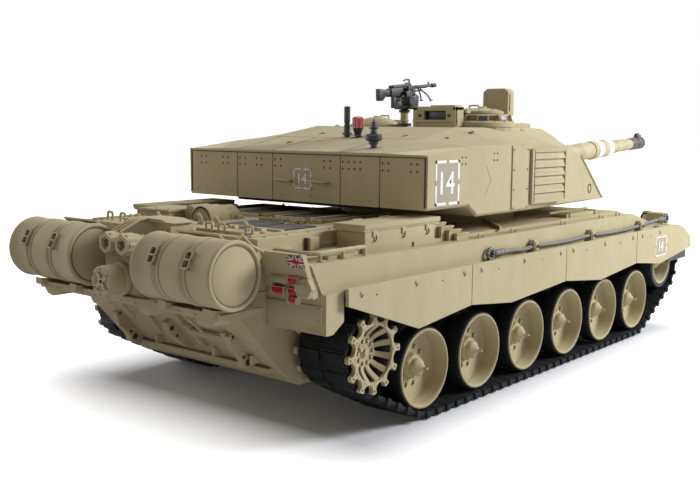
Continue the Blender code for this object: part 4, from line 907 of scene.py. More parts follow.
def build_skirts():
    """Side skirts with their hanging bolts, hooks and the rubber flap at the front."""
    hooks = [(-70.5, 84.6), (-22.0, 84.5), (27.0, 84.4), (46.0, 84.4), (98.5, 84.4), (149, 84.4), (168, 84.4),
             (220, 84.4), (271, 84.4), (290, 84.4), (326, 84.4)]
    dots = [(-57.6, 82.3), (4.0, 82.3), (66.7, 82.0), (123.0, 82.0), (190, 82.0), (248, 82.0), (308, 82.0)]
    for side, sign in SIDES:
        piece = Piece("skirt_parts_" + side, "hull")
        piece.add("sand", carried("skirt_" + side, 0.35))
        face = mirrored(sign)
        # Each hook is a bolt head with a bent keeper under it.
        for x, z in hooks:
            piece.add("sand", rod((x, SKIRT_Y + 0.25, z), 0.9, 0.9, "Y", 10, edge=0.2), at=face)
            keeper = wire([(x + 0.9, SKIRT_Y + 0.2, z + 0.2), (x + 1.1, SKIRT_Y + 0.2, z - 1.2),
                           (x - 0.3, SKIRT_Y + 0.2, z - 2.0)], 0.35, 6)
            piece.add("shadow", keeper, at=face)
        piece.add("shadow", studs([(x, SKIRT_Y - 0.1, z) for x, z in dots], "left", 0.55, 0.35, 8), at=face)
        piece.add("black", box((354, SKIRT_Y - 4.6, 55.5), (396, SKIRT_Y - 3.2, 66), 0.3), at=face)
        aspect = RIGHT_FACE if sign < 0 else LEFT_FACE
        number_panel(piece, on_face((330.0, sign * SKIRT_Y, 71.8), *aspect), 24.0, 16.5)
        piece.done("skirt_" + side, smooth=10)


def drum_shape():
    """Pressed fuel drum, drawn along Z: rolled end rims, flat sunken ends and two clamp bands."""
    half = (DRUM_OUTER - DRUM_INNER) / 2
    radius = DRUM_R - 0.5
    profile = [
        (0, half - 1.0), (radius - 2.4, half - 1.0), (radius - 2.1, half - 1.2), (radius - 1.8, half - 1.0),
        (radius - 1.3, half - 0.2), (radius - 0.6, half), (radius + 0.2, half - 0.3),
        (radius + 0.5, half - 1.2), (radius + 0.4, half - 2.4), (radius, half - 3.0)]
    for middle in (half / 3, -half / 3):
        profile += [
            (radius, middle + 2.6), (radius + 0.4, middle + 2.2), (radius + 0.4, middle + 1.5),
            (radius - 0.4, middle + 1.1), (radius - 0.4, middle - 1.1), (radius + 0.4, middle - 1.5),
            (radius + 0.4, middle - 2.2), (radius, middle - 2.6),
        ]
    return lathe(profile + [(r, -z) for r, z in reversed(profile[:10])], 64)


def build_drums():
    middle = (DRUM_INNER + DRUM_OUTER) / 2
    length = DRUM_OUTER - DRUM_INNER
    clamp_half, buckle_lean, plate_lean = 2.75, radians(27), radians(38)
    for side, sign in SIDES:
        piece = Piece("fuel_drum_parts_" + side, "hull")
        place = moved(DRUM_X, sign * middle, DRUM_Z) @ turned(-QUARTER * sign, "X")
        piece.add("sand", drum_shape(), at=place)
        # Thin dark rings along the band edges and inside the end rims are painted shade in the grooves.
        seams = [(DRUM_R - 0.5, s * length / 6 + d) for s in (1, -1) for d in (clamp_half, -clamp_half)]
        seams += [(DRUM_R - 2.4, length / 2 - 0.95), (DRUM_R - 2.4, 0.95 - length / 2)]
        for reach, level in seams:
            seam = [
                (reach + 0.1, level + 0.2), (reach + 0.1, level - 0.2), (reach - 0.6, level - 0.2),
                (reach - 0.6, level + 0.2)]
            piece.add("wash", lathe(seam, 64, True), at=place)
        # The clamp's buckle: a hinged plate with two windows, on the upper rear of each band.
        for offset in (-length / 6 - 3.4, length / 6 + 3.0):
            seat = (moved(DRUM_X, sign * middle + offset, DRUM_Z)
                    @ turned(buckle_lean - pi, "Y") @ moved(DRUM_R, 0, 0))
            for y0 in (-2.6, 1.8):
                piece.add("sand", box((-0.7, y0, -4.8), (1.0, y0 + 0.9, 4.8), 0.25), at=seat)
            for z0 in (-4.8, -0.5, 3.9):
                piece.add("sand", box((-0.7, -2.6, z0), (1.1, 2.6, z0 + 0.9), 0.25), at=seat)
            piece.add("shadow", box((-0.6, -2.0, -4.2), (-0.35, 2.0, 4.2), 0), at=seat)
        # Carrying plate on top; the right drum also has a hoop and a bent stay.
        outward = mirrored(sign)
        plate = box((-5.4, 35, -0.6), (5.4, 67, 0.6), 0.3)
        piece.add(
            "sand", plate, at=outward @ moved(DRUM_X + 11.5, 0, DRUM_Z + 14.6) @ turned(plate_lean, "Y"))
        if sign < 0:
            piece.add(
                "sand", wire([(-126, 79, 113.0), (-122, 79, 117.0), (-118.5, 79, 113.0)], 0.8, 8, True),
                wire([(-122, 79, 116.8), (-118, 82, 111.0), (-111, 83, 107.4)], 0.8, 8), at=outward)
        piece.done("fuel_drum_" + side)


def build_cables():
    """Twisted tow rope in its clips, with a spliced eye in a swaged sleeve at both ends."""
    for side, sign in SIDES:
        piece = Piece("tow_cable_parts_" + side, "hull")
        y = sign * CABLE_Y
        eye_z = CABLE_Z + 2.2
        clip_z, sag, sleeve_off = 91.4, 1.3, 11
        # The rope hangs a little between its three clips and lifts to the front eye.
        points = [(70, y, CABLE_Z)]
        for start, end in ((90, 119.5), (119.5, 205.5), (205.5, 295.0)):
            for k in range(1, 9):
                points.append((start + (end - start) * k / 8, y, clip_z - sag * sin(pi * k / 8)))
        points += [(330, y, eye_z), (346, y, eye_z)]
        piece.add("cable", wire(points, ROPE_R, 12))
        for x, toward, z in ((64.0, 1, CABLE_Z), (350.0, -1, eye_z)):
            turn = moved(x, y, z) @ along("Y")
            eye = lathe([(2.4, 0.7), (2.9, 1.25), (3.7, 1.2), (4.3, 0.7), (4.4, 0), (4.3, -0.7), (3.7, -1.2),
                         (2.9, -1.25), (2.4, -0.7)], 24, True)
            piece.add("cable", eye, at=turn)
            piece.add("cable", rod((x + toward * sleeve_off, y, z), 1.95, 14, "X", 16, edge=0.5))
            for step in (-4.5, 0, 4.5):
                piece.add("cable", rod((x + toward * sleeve_off + step, y, z), 2.15, 1.4, "X", 16))
        piece.done("tow_cable_" + side)


def build_rear_plate():
    """Towing gear, pintle, couplings, brackets and tie rods on the rear of the hull."""
    piece = Piece("rear_plate_parts", "hull")
    # Pintle: a turned cup with a raised cross, held by a collar.
    cup = lathe([(0, 7.6), (5.0, 7.6), (5.5, 8.3), (6.2, 8.8), (7.4, 8.8), (8.3, 8.0), (8.5, 6.0), (8.3, 3.4),
                 (8.3, -2.0), (9.2, -2.6), (9.2, -5.0), (0, -5.0)], 36)
    pintle = (-140.5, 0, 87.7)
    place = moved(*pintle) @ turned(-QUARTER, "Y")
    piece.add("sand", cup, at=place)
    for turn in (35, 125):
        cross = box((-5.4, -1.1, 7.5), (5.4, 1.1, 8.6), 0.25)
        piece.add("sand", cross, at=place @ turned(radians(turn), "Z"))
    piece.add("shadow", bolts(6, 6.9, 0.5, 0.5, 8), at=place @ moved(0, 0, 8.75))
    # Inter-vehicle couplings: hexagonal sockets with a square drive, and slanted guards over them.
    for y in (7, -7):
        socket = lathe([(0, 3.2), (3.4, 3.2), (3.6, 4.4), (5.9, 4.4), (6.2, 3.6), (6.2, -3.0), (0, -3.0)], 6)
        seat = moved(-136.3, y, 107) @ turned(-QUARTER, "Y")
        piece.add("sand", socket, at=seat)
        piece.add("shadow", box((-1.9, -1.9, 3.0), (1.9, 1.9, 3.5), 0.1), at=seat @ turned(0.35, "Z"))
        piece.add("sand", rod((-128.5, y, 107), 4.4, 6, "X", 20))
    for y in (3.0, 6.5, 10.0):
        piece.add("sand", wire([(-133, y + 1, 112.5), (-121, y - 1, 118.5), (-112, y - 1, 118.8)], 0.8, 8))
    piece.add(
        "sand", box((-134.5, -15, 79.5), (-133.6, 15, 99.5), 0.3),
        studs([(-134.5, y, z) for y in (-13, 13) for z in (81.5, 97.5)], "rear", 0.8, 0.6, 6))
    # Lower plate: stiffening lip, towing bar between lugs, and keeper plates of the shackles.
    for y in (-18, -47):
        piece.add("sand", slab([(-108, 60), (-92, 60), (-84, 45), (-94, 46)], y - 0.9, y + 0.9, "XZ", 0.3))
    piece.add("sand", rod((-101.8, -32.5, 55.8), 2.2, 31, "Y", 16))
    hook_y, (tip_x, tip_z), (foot_x, foot_z) = 49.2, (-102.4, 55.0), (-91.6, 41.5)
    for sign in (1, -1):
        y = sign * hook_y
        piece.add(
            "sand", rod((foot_x, y, foot_z), 3.4, 5.2, "Y", 20), rod((tip_x, y, tip_z), 1.5, 5.4, "Y", 12))
        piece.add("shadow", rod((foot_x, y, foot_z), 1.9, 5.5, "Y", 16))
        for x, z in ((tip_x, 57.5), (-94.5, 45.0)):
            piece.add("shadow", rod((x, y, z), 0.9, 5.2, "Y", 10))
        piece.add(
            "sand", wire([(-119, sign * 26.3, 72), (-104.5, sign * 30, 57.2)], 0.8, 8),
            wire([(-112, sign * 14, 68), (-96, sign * 15.5, 49)], 0.8, 8))
        # Stiff brackets under the beam where the drums' weight comes down.
        for inner, outer in ((12, 30), (58, 75)):
            low, high = sorted((sign * inner, sign * outer))
            hanger = slab([
                (low, 74.6), (high, 74.6), (high - 3, 71.2), (high - 8, 70.2), (low + 8, 70.2),
                (low + 3, 71.2)], -135.2, -124, "YZ", 0.4)
            piece.add("sand", hanger)
    piece.add(
        "sand", box((-136.5, -BEAM_END, 76.9), (-135.2, BEAM_END, 78.6), 0.3),
        studs([(-136.1, y, 75.9) for y in range(-72, 73, 12)], "rear", 0.7, 0.5, 6))
    # The middle lug's two holes, each a dark bore in a raised boss.
    for x, z, boss, bore in (
        (-99.4, 50.5, (1.4, 4.7, 12), (0.9, 5.0, 12)), (-103.4, 55.5, (2.6, 4.9, 16), (1.5, 5.2, 14))):
        for finish, (radius, length, sides) in (("sand", boss), ("shadow", bore)):
            piece.add(finish, rod((x, 0, z), radius, length, "Y", sides))
    piece.add("sand", box((-87, -60, 35.6), (-84.5, 60, 38.8), 0.3))
    for y in (-55, -25, 25, 55):
        piece.add("sand", box((-93, y - 0.7, 41), (-86, y + 0.7, 46), 0.3))
    piece.done()


def flag_marking():
    """Crossed-stripe cloth flag, 11 by 7 mm, as flat stencil layers."""
    w, h = 5.6, 3.4
    slope, reach = atan2(h, w), hypot(w, h) * 0.94

    def stripe(angle, wide):
        c, s = cos(angle), sin(angle)
        return [(x * c - y * s, x * s + y * c) for x, y in rectangle(reach, wide)]

    layers = [("blue", [rectangle(w, h)])]
    for finish, slanted, straight in (("white", 0.62, 1.2), ("red", 0.22, 0.68)):
        layers.append((finish, [stripe(slope, slanted), stripe(-slope, slanted),
                                rectangle(w, straight), rectangle(straight, h)]))
    return layers


def build_rear_lamps():
    """Lamp clusters below the rear posts, and the small flag on the right-hand one."""
    piece = Piece("rear_lamp_parts", "hull")
    for place in BOTH:
        piece.add(
            "sand", rod((-104.4, 106.0, 90.6), 5.4, 3.4, "X", 6, edge=0.4),
            rod((-105.6, 106.0, 90.6), 2.6, 2.6, "X", 16),
            rod((-104.0, 103.0, 90.6), 3.4, 5.0, "Y", 6, edge=0.3), at=place)
        # Four red lenses and a painted blank, lying across the plate in pressed holders.
        for y0, y1, z, radius, lens in (
            (94.8, 102.0, 94.1, 2.2, "lamp_red"), (83.6, 92.4, 88.0, 2.3, "lamp_red"),
            (94.8, 101.6, 88.2, 2.2, "lamp_red"), (94.8, 100.4, 83.7, 1.8, "lamp_red"),
            (83.6, 93.6, 93.4, 2.1, "sand")):
            piece.add(lens, rod((-103.8, (y0 + y1) / 2, z), radius, y1 - y0, "Y", 20, edge=0.5), at=place)
            for y in (y0, y1):
                piece.add("sand", rod((-103.8, y, z), radius + 0.35, 0.8, "Y", 20), at=place)
        # Edge of the post plate, folded back, with its gusset.
        lean = [(-109.3, 108.2), (-107.9, 108.2), (-98.9, 84.6), (-100.4, 84.6)]
        piece.add(
            "sand", slab(lean, 105.2, 107.4, "XZ", 0.25), box((-94.0, 64, 70), (-93.2, 108, 80), 0.3),
            studs([(-94.0, y, z) for y in (66.5, 105.5) for z in (72, 78)], "rear", 0.8, 0.5, 6), at=place)
    face = on_face((-107.7, -102.4, 103.9), (0, -1, 0), (-0.364, 0, 0.931))
    for level, (finish, outlines) in enumerate(flag_marking()):
        for outline in outlines:
            piece.add(finish, slab(outline, 0.05, 0.14 + 0.07 * level, "XY", 0), at=face)
    piece.done()


def build_engine_deck():
    """Louvred covers, hinges, lifting eyes, exhaust and low covers on the rear deck."""
    piece = Piece("engine_deck_parts", "hull")
    top = ENGINE_Z

    def slats(x0, y0, x1, y1, cell, wide, rise):
        """Grey bars across a dark opening, one for each cell of its width."""
        count = int((y1 - y0) / cell)
        step = (y1 - y0 - cell) / max(1, count - 1)
        return bars(count, ((x0 + x1) / 2, y0 + cell / 2, top + rise), (0, step, 0), (x1 - x0, wide, 0.5), 25)

    # Louvred covers: dark slats in a raised frame, over an opening of painted shade. The wide ones run under
    # the turret's overhang.
    for x0, y0, x1, y1 in ((-24, -46, 33, -38), (-24, -33, 33, -8), (-24, 6, 33, 35), (-24, 41, 33, 60)):
        piece.add("shadow", box((x0, y0, top - 0.4), (x1, y1, top + 0.6), 0.05))
        piece.add("grille", slats(x0, y0, x1, y1, 2.0, 1.1, 1.1))
        left, right, near, far = x0 - 1.6, x1 + 1.6, y0 - 1.4, y1 + 1.4
        for xa, ya, xb, yb in ((left, near, x0, far), (x1, near, right, far), (left, near, right, y0),
                               (left, y1, right, far)):
            piece.add("sand", box((xa, ya, top - 0.4), (xb, yb, top + 2.3), 0.25))
    # Rims along both edges of the deck, with their bolts.
    for place in BOTH:
        piece.add(
            "sand", box((-105, 66.0, top - 0.5), (40, 68.5, top + 1.3), 0.4),
            studs([(x, 71.5, top) for x in range(-98, 40, 17)], "up", 1.0, 0.7, 6), at=place)
        for x in (-96, -60, -24):
            piece.add("sand", box((x, 73.2, 105.5), (x + 14, 75.5, 106.6), 0.3), at=place)
    # Hinge knuckles with their catches, in five rows between the covers.
    knuckle = joined(
        box((-2.2, -1.5, -0.3), (2.2, 1.5, 1.0), 0.3), rod((0, 0, 1.4), 1.1, 4.2, "X", 12),
        bent([(-1.2, 1.2, 0.5), (-1.2, 2.6, 2.6), (1.2, 2.6, 2.6), (1.2, 1.2, 0.5)], 0.8, 0.4, 6))
    rows = [((-38.6, -10.6), (-32.9, -28.6), 5), ((-37, -36), (-28, -47), 4), ((-40, 8), (-34, 30), 5),
            ((-84, -24), (-84, -56), 4), ((-84, 24), (-84, 56), 4)]
    spots = []
    for (xa, ya), (xb, yb), count in rows:
        spots += [
            ((xa + (xb - xa) * k / (count - 1), ya + (yb - ya) * k / (count - 1), top), (0, 0, 0.3 * (k % 3)))
            for k in range(count)]
    piece.add("sand", scattered(knuckle, spots))
    # Lifting handles, upright at the front of the covers and along the rear edge.
    front = [(x, sign * y, sign * 0.8, width, 2.1) for sign in (-1, 1)
             for x, y, width in ((31.8, 10.9, 7.0), (31.0, 24.2, 7.0), (37.8, 45, 8.0))]
    rear = [
        (-100, y, 1.4, 6.0, 5.2) for y in (-31, -41, 31, 45)] + [(-98, y, 1.4, 6.0, 5.0) for y in (60, -60)]
    for x, y, turn, width, height in front + rear:
        place = moved(x, y, top) @ turned(turn, "Z")
        piece.add("sand", bracket_loop(width, height, 1.6), at=place)
    for x, y in ((-77, 2.3), (-81, -16.3), (-88, 26), (-92, -52)):
        ring = lathe([
            (2.2, 0.5), (2.7, 0.9), (3.3, 0.9), (3.7, 0.4), (3.7, -0.4), (3.3, -0.9), (2.7, -0.9),
            (2.2, -0.5)], 20, True)
        upright = moved(x, y, top + 3.2) @ turned(radians(70), "Y") @ turned(0.5, "X")
        piece.add("sand", ring, at=upright)
        piece.add("sand", rod((x, y, top + 0.5), 1.8, 1.6, "Z", 12))
    # Exhaust: a ribbed silencer end beside a hooded outlet.
    pipe = lathe([
        (0, 7.0), (2.0, 7.2), (2.2, 6.4), (3.2, 6.3), (3.6, 7.0), (4.8, 6.6), (5.2, 5.6), (5.2, -8.0),
        (0, -8.0)], 32)
    exhaust_x = -53.5
    place = moved(exhaust_x, 31, top + 3.6) @ turned(-QUARTER, "Y")
    piece.add("sand", pipe, at=place)
    end = moved(exhaust_x, 18, top + 0.5) @ turned(-QUARTER, "Y")
    piece.add("sand", rod((0, 0, 7.4), 7.6, 2.4, "Z", 36, edge=0.3), at=end)
    for k in range(-4, 5):
        rib = box((-4.2, -0.35, 6.6), (4.2, 0.35, 7.4), 0.1)
        narrowed = Matrix.Diagonal((max(0.35, 1 - (abs(k) / 4.6) ** 2), 1, 1, 1))
        piece.add("sand", rib, at=place @ moved(0, k, 0) @ narrowed)
        wide = box((-6.2, -0.45, 8.3), (6.2, 0.45, 9.2), 0.15)
        piece.add("sand", wide, at=end @ moved(0, 1.45 * k, 0) @ narrowed)
    hood = lathe([(7.4, 9.0), (8.9, 9.0), (9.3, 8.2), (9.3, -4.0), (8.6, -6.5), (7.4, -6.5)], 40, True)
    piece.add("sand", hood, at=moved(exhaust_x, 18, top) @ turned(-QUARTER, "Y"))
    piece.add(
        "sand", box((-46, 9, top - 0.3), (-37, 44, top + 3.4), 0.8),
        box((-72.6, 36.6, top + 4.2), (-43.6, 64.4, top + 5.9), 0.6),
        studs([(x, y, top + 5.9) for x in (-70, -46) for y in (39, 50.5, 62)], "up", 0.9, 0.6, 6))
    # Recessed mesh over the radiators' outlets, behind the covers and beside the exhaust; the recess under the
    # mesh is painted shade.
    for x0, y0, x1, y1 in (
        (-70, -58, -42, -36), (-70, -33, -42, -8), (-90, -50, -78, -24), (-90, 26, -78, 60),
        (-22, 62, 33, 65)):
        piece.add("shadow", box((x0, y0, top - 0.4), (x1, y1, top + 0.25), 0.05))
        piece.add("grille", slats(x0, y0, x1, y1, 2.4, 0.8, 0.5))
    # Low transverse covers and ribs between the exhaust and the drums.
    for x0, x1, rise in ((-100, -92, 1.6), (-76, -73, 1.4), (-88, -86, 1.1)):
        for y0, y1 in ((-62, -20), (24, 34)):
            piece.add("sand", box((x0, y0, top - 0.3), (x1, y1, top + rise), 0.4))
    piece.add(
        "sand", box((-100.4, -20.2, 117.0), (-116.6, 24.2, 117.8), 0.3),
        studs([(-116.2, y, z) for y in (-15, 19) for z in (107, 114)], "rear", 0.8, 0.5, 6))
    piece.done()


def build_stowage():
    """Bins, steps, grab rails, splash strips, hooks and front fittings on the sponsons."""
    piece = Piece("stowage_parts", "hull")
    face = BIN_Y
    for place in BOTH:
        # Sheet front of the bin with its folded edges, three catches and a drain notch.
        piece.add("sand", box((-48.4, face - 0.4, 101.2), (17.4, face + 0.5, 113.4), 0.3), at=place)
        for x in (-40.5, -14, 9.5):
            piece.add("sand", box((x - 1.6, face + 0.3, 110.2), (x + 1.6, face + 1.3, 113.6), 0.25), at=place)
            piece.add("shadow", wire([
                (x + 0.8, face + 1.2, 111.2), (x + 0.8, face + 1.4, 108.8),
                (x - 1.0, face + 1.4, 107.6)], 0.4, 6), at=place)
        piece.add("shadow", box((-5.2, face + 0.3, 101.4), (-3.4, face + 0.75, 104.2), 0.05), at=place)
        piece.add(
            "sand", box((-50.4, 76.8, 116.2), (21.4, 99.8, 117.3), 0.3),
            box((-50.4, 98.8, 114.6), (21.4, 99.9, 117.3), 0.25), at=place)
        for x in (-30, -4):
            piece.add("sand", rod((x, 77.5, 117.0), 1.0, 9, "X", 12), at=place)
        # Bay behind the bin: a small box, the filler's dark opening and rail posts.
        piece.add(
            "sand", box((-47.5, 84, 103.2), (-38.5, 92, 111.0), 0.4),
            box((-70, 74.6, 103.6), (-62.6, 78.2, 110.4), 0.4), at=place)
        piece.add(
            "shadow", box((-33.4, 74.6, 103.9), (-28.6, 75.35, 108.2), 0.05),
            box((-71.6, 74.8, 103.6), (-70.0, 76.2, 110.4), 0.1), at=place)
        rail = rounded([
            (-94, 62, 101.5), (-94, 62, 106.2), (-94, 97, 106.2), (-89, 101, 106.2), (-52, 101, 106.2),
            (-52, 101, 101.2)], 1.6)
        piece.add("sand", wire(rail, 1.15, 10), at=place)
        for x, y in ((-94, 80), (-94, 95), (-88, 101), (-70, 101)):
            piece.add(
                "sand", rod((x, y, 103.6), 0.95, 5.2, "Z", 10), rod((x, y, 101.9), 1.8, 0.8, "Z", 12),
                at=place)
        piece.add("sand", box((-80, 97.2, 101.3), (-60, 99.6, 103.6), 0.3), at=place)
        # Ribbed step: bright treads on four risers.
        for k in range(4):
            x, y, z = 24 + k * 4, 91 + k * 3, 111.6 - k * 2.2
            piece.add("sand", box((x - 0.3, y - 0.5, z - 0.2), (x + 13.3, y + 2.7, z + 0.9), 0.3), at=place)
        # Splash strips and fixing hooks along the front deck.
        strip = slab([(93, 98), (95, 98), (166, 31.5), (164, 30)], 102.9, 105.9, "XY", 0.3)
        piece.add("sand", strip, at=place)
        for x in (60, 100, 170, 232, 262):
            piece.add("sand", bent([
                (x - 3, 104.5, 101.2), (x - 3, 104.5, 103.9), (x + 3, 104.5, 103.9),
                (x + 3, 104.5, 101.2)], 0.9, 0.6, 8), at=place)
        piece.add("sand", box((196, 84, 103.2), (246, 94, 106.2), 0.5), at=place)
        for x in (200, 242):
            piece.add("sand", wire(
                [(x, 83.4, 103.4), (x, 83.4, 106.6), (x, 94.6, 106.6), (x, 94.6, 103.4)], 0.5, 6), at=place)
        piece.add("sand", rod((217, 84.6, 107.0), 1.1, 62, "X", 12), at=place)
        # Cable clips: a clamp with a wing screw on each pad.
        for x in (119.5, 205.5, 295.0):
            piece.add("sand", box((x - 2.2, 109.4, 88.2), (x + 2.2, 111.9, 94.2), 0.4), at=place)
            piece.add("shadow", rod((x, 112.2, 91.2), 1.1, 1.4, "Y", 12), at=place)
        # Front fittings: headlamp in a guard, and tow eyes on their blocks.
        lamp = lathe([(0, 3.4), (2.4, 3.1), (3.6, 2.4), (3.6, -1.5), (0, -1.5)], 24)
        seat = moved(371.2, 83.2, 90.6) @ along("X")
        piece.add("lamp_clear", lamp, at=place @ seat)
        rim = lathe([(3.5, 3.0), (4.5, 3.2), (4.8, 2.4), (4.8, -2.0), (3.5, -2.0)], 24, True)
        piece.add("black", rim, at=place @ seat)
        guard = rounded([(376, 78.0, 84.6), (376, 78.0, 95.6), (376, 88.5, 95.6), (376, 88.5, 84.6)], 2.0)
        piece.add("sand", wire(guard, 0.8, 8), at=place)
        eye = lathe([(3.0, 1.6), (4.4, 2.0), (5.6, 1.6), (5.6, -1.6), (4.4, -2.0), (3.0, -1.6)], 20, True)
        piece.add("sand", eye, at=place @ moved(391, 40, 66) @ along("Y"))
        piece.add("sand", box((382, 37.6, 62.5), (389, 42.4, 69.5), 0.5), at=place)
    piece.add("sand", box((196, -18, 103.2), (204, 18, 104.6), 0.4))
    for y in (-9, 0, 9):
        glass = box((-1.0, -3.6, 0.0), (1.0, 3.6, 3.0), 0.3)
        place = moved(299.5 - abs(y) * 0.25, y, 100.0) @ turned(-radians(y * 1.5), "Z")
        piece.add("sand", box((-2.6, -4.2, -2), (1.0, 4.2, 2.6), 0.4), at=place)
        piece.add("lens", glass, at=place @ moved(0.6, 0, -0.9))
    piece.done()


build_hull_shells()
build_skirts()
build_drums()
build_cables()
build_rear_plate()
build_rear_lamps()
build_engine_deck()
build_stowage()


# --- turret ---------------------------------------------------------------------------------

def build_turret_shell():
    piece = Piece("turret_shell_parts", "turret")
    shell = carried("turret_shell")
    # The aerials' seats are sunk level with the roof sheet.
    for x0, x1, y0, y1 in ((36, 64, -24, 8), (3.5, 30, -66, -38)):
        for vert in shell.verts:
            x, y, z = vert.co
            if x0 < x < x1 and y0 < y < y1 and z > roof_height(x) + 0.15:
                vert.co.z = roof_height(x) + 0.08
    piece.add("sand", shell, carried("turret_base", 0.3))
    piece.done("turret_shell", "turret_base", smooth=3)


def build_turret_rear():
    """Stowage panels across the bustle: edge strip, bolt groups, grab rails and number."""
    piece = Piece("turret_rear_parts", "turret")
    groups = [
        (91.3, 86.2), (68.9, 63.9), (52.2, 47.2), (36.1, 31.6), (19.1, 13.9), (-23.5, -28.8), (-38.8, -43.8),
        (-48.2, -52.9), (-69.9, -74.5), (-91.0, -95.6)]
    spots = [(PANEL_X, y, z) for pair in groups for y in pair for z in (148.4, 144.1)]
    piece.add("shadow", studs(spots, "rear", 0.8, 0.12, 10))
    for y0, y1 in ((18.2, 3.4), (-14.0, -26.6)):
        rail = rounded([(3.2, y0, 135.2), (0.4, y0, 135.2), (0.4, y1, 134.9), (3.2, y1, 134.9)], 0.8)
        piece.add("sand", wire(rail, 0.75, 8))
    number_panel(piece, on_face((PANEL_X, -5.3, 136.5), *REAR_FACE), 15.6, 13.0)
    # Stepped floor of the bustle, which closes the gap over the engine deck, drawn dark as painted shade under
    # the overhang.
    piece.add("shadow", slab([(8, 123), (11, 119.2), (88, 119.2), (92, 123)], -62, 62, "XZ", 0.4))
    # Turned-down edge of the roof sheet along the top of the panels, and their lower seam.
    piece.add("sand", box((2.2, -102.6, 152.6), (3.6, 102.6, 153.9), 0.25))
    piece.add("shadow", box((2.7, -102.0, 151.9), (3.1, 102.0, 152.3), 0.05))
    for sign in (1, -1):
        piece.add("shadow", box((2.6, sign * 101.2 - 0.4, 123.6), (3.08, sign * 101.2 + 0.4, 152.2), 0.05))
    piece.add("sand", studs([
        (PANEL_X, y, 125.4) for y in (95, 62, 46, 29, 12, -12, -29, -45, -60, -76, -95)], "rear", 0.6, 0.3, 8))
    piece.done()


def build_turret_sides():
    """Markings, bolts, louvre frames and the front edges on both cheeks."""
    piece = Piece("turret_side_parts", "turret")
    first_slat, slat_pitch = 122.6, 5.8
    for _, sign in SIDES:
        out = mirrored(-sign)
        face = RIGHT_FACE if sign < 0 else LEFT_FACE
        dots = [(x, -CHEEK_Y, z) for x in (38.9, 42.8) for z in (151.9, 147.9)]
        dots += [(x, -CHEEK_Y, z) for x in (75.8, 79.8) for z in (153.7, 149.4)]
        piece.add("shadow", studs(dots, "right", 0.8, 0.12, 10), at=out)
        strip = [(x, -103.8, z) for x in (99.6, 117.4) for z in (155.6, 142.5, 129.4, 117.4)]
        piece.add("shadow", studs(strip, "right", 0.65, 0.3, 8), at=out)
        number_panel(piece, on_face((23.3, sign * CHEEK_Y, 137.4), *face), 25.5, 26.5)
        chevron = [(-3.4, 9.3), (-2.4, 9.3), (4.0, 0), (-2.6, -9.3), (-3.9, -9.3), (2.6, 0)]
        place = on_face((69.5, sign * CHEEK_Y, 137.2), *face)
        piece.add("grey", slab(
            chevron if sign < 0 else [(-x, y) for x, y in chevron], 0.03, 0.12, "XY", 0), at=place)
        ring = band([(3.3 * cos(k * pi / 12), 3.6 * sin(k * pi / 12)) for k in range(24)],
                    [(2.4 * cos(k * pi / 12), 2.7 * sin(k * pi / 12)) for k in range(24)], 0.0, 0.15)
        badge = on_face((227.6, sign * 96.15, 124.3), *face)
        tilt = turned(sign * -0.043, "Z")
        piece.add("black", ring, at=moved(*badge.translation) @ tilt @ moved(*-badge.translation) @ badge)
        # Louvre box: a dark gap in front of its rear post, and slats that lean out over dark slots.
        piece.add("sand", box((122.6, -104.9, 119.4), (124.9, -103.2, 155.6), 0.2), at=out)
        piece.add("shadow", box((124.9, -104.85, 119.6), (126.1, -103.0, 155.4), 0.05), at=out)
        for k in range(6):
            z = first_slat + k * slat_pitch
            slat = slab([
                (-103.4, z + 2.8), (-104.9, z - 2.4), (-104.9, z - 2.7), (-102.6, z - 2.7),
                (-102.6, z + 2.8)], 126.2, 169.2, "YZ", 0.1)
            piece.add("sand", slat, at=out)
            piece.add("shadow", box((126.2, -103.3, z - 3.0), (169.0, -102.6, z - 2.7), 0.02), at=out)
        for z in (119.3, 155.4):
            piece.add("sand", box((124.0, -105.1, z - 0.6), (171.6, -103.4, z + 0.6), 0.25), at=out)
        piece.add("sand", box((169.6, -105.1, 120.2), (171.6, -103.4, 155.2), 0.25), at=out)
        # Bright folded edge down the front of the cheek.
        edge = [(210, -97.0, 149.2), (231, -96.2, 132.8), (252, -95.2, 116.2)]
        piece.add("sand", wire(edge, 0.7, 8), at=out)
        # Lifting eye on the shoulder.
        piece.add("sand", slab(
            [(184, 163.8), (192, 163.8), (189.5, 169.0), (186.0, 169.0)], -60.2, -58.8, "XZ", 0.3), at=out)
        piece.add("shadow", rod((187.8, -59.5, 166.6), 1.1, 1.8, "Y", 12), at=out)
    piece.done()


def roof_height(x):
    """Height of the roof's middle at a place along the turret."""
    for (x0, z0), (x1, z1) in zip(((3, 154.3), (47, 162.2), (57, 163.8), (92, 169.8), (210, 169.8)),
                                  ((47, 162.2), (57, 163.8), (92, 169.8), (210, 169.8), (252, 168.8))):
        if x <= x1:
            return z0 + (z1 - z0) * (x - x0) / (x1 - x0)
    return 168.8


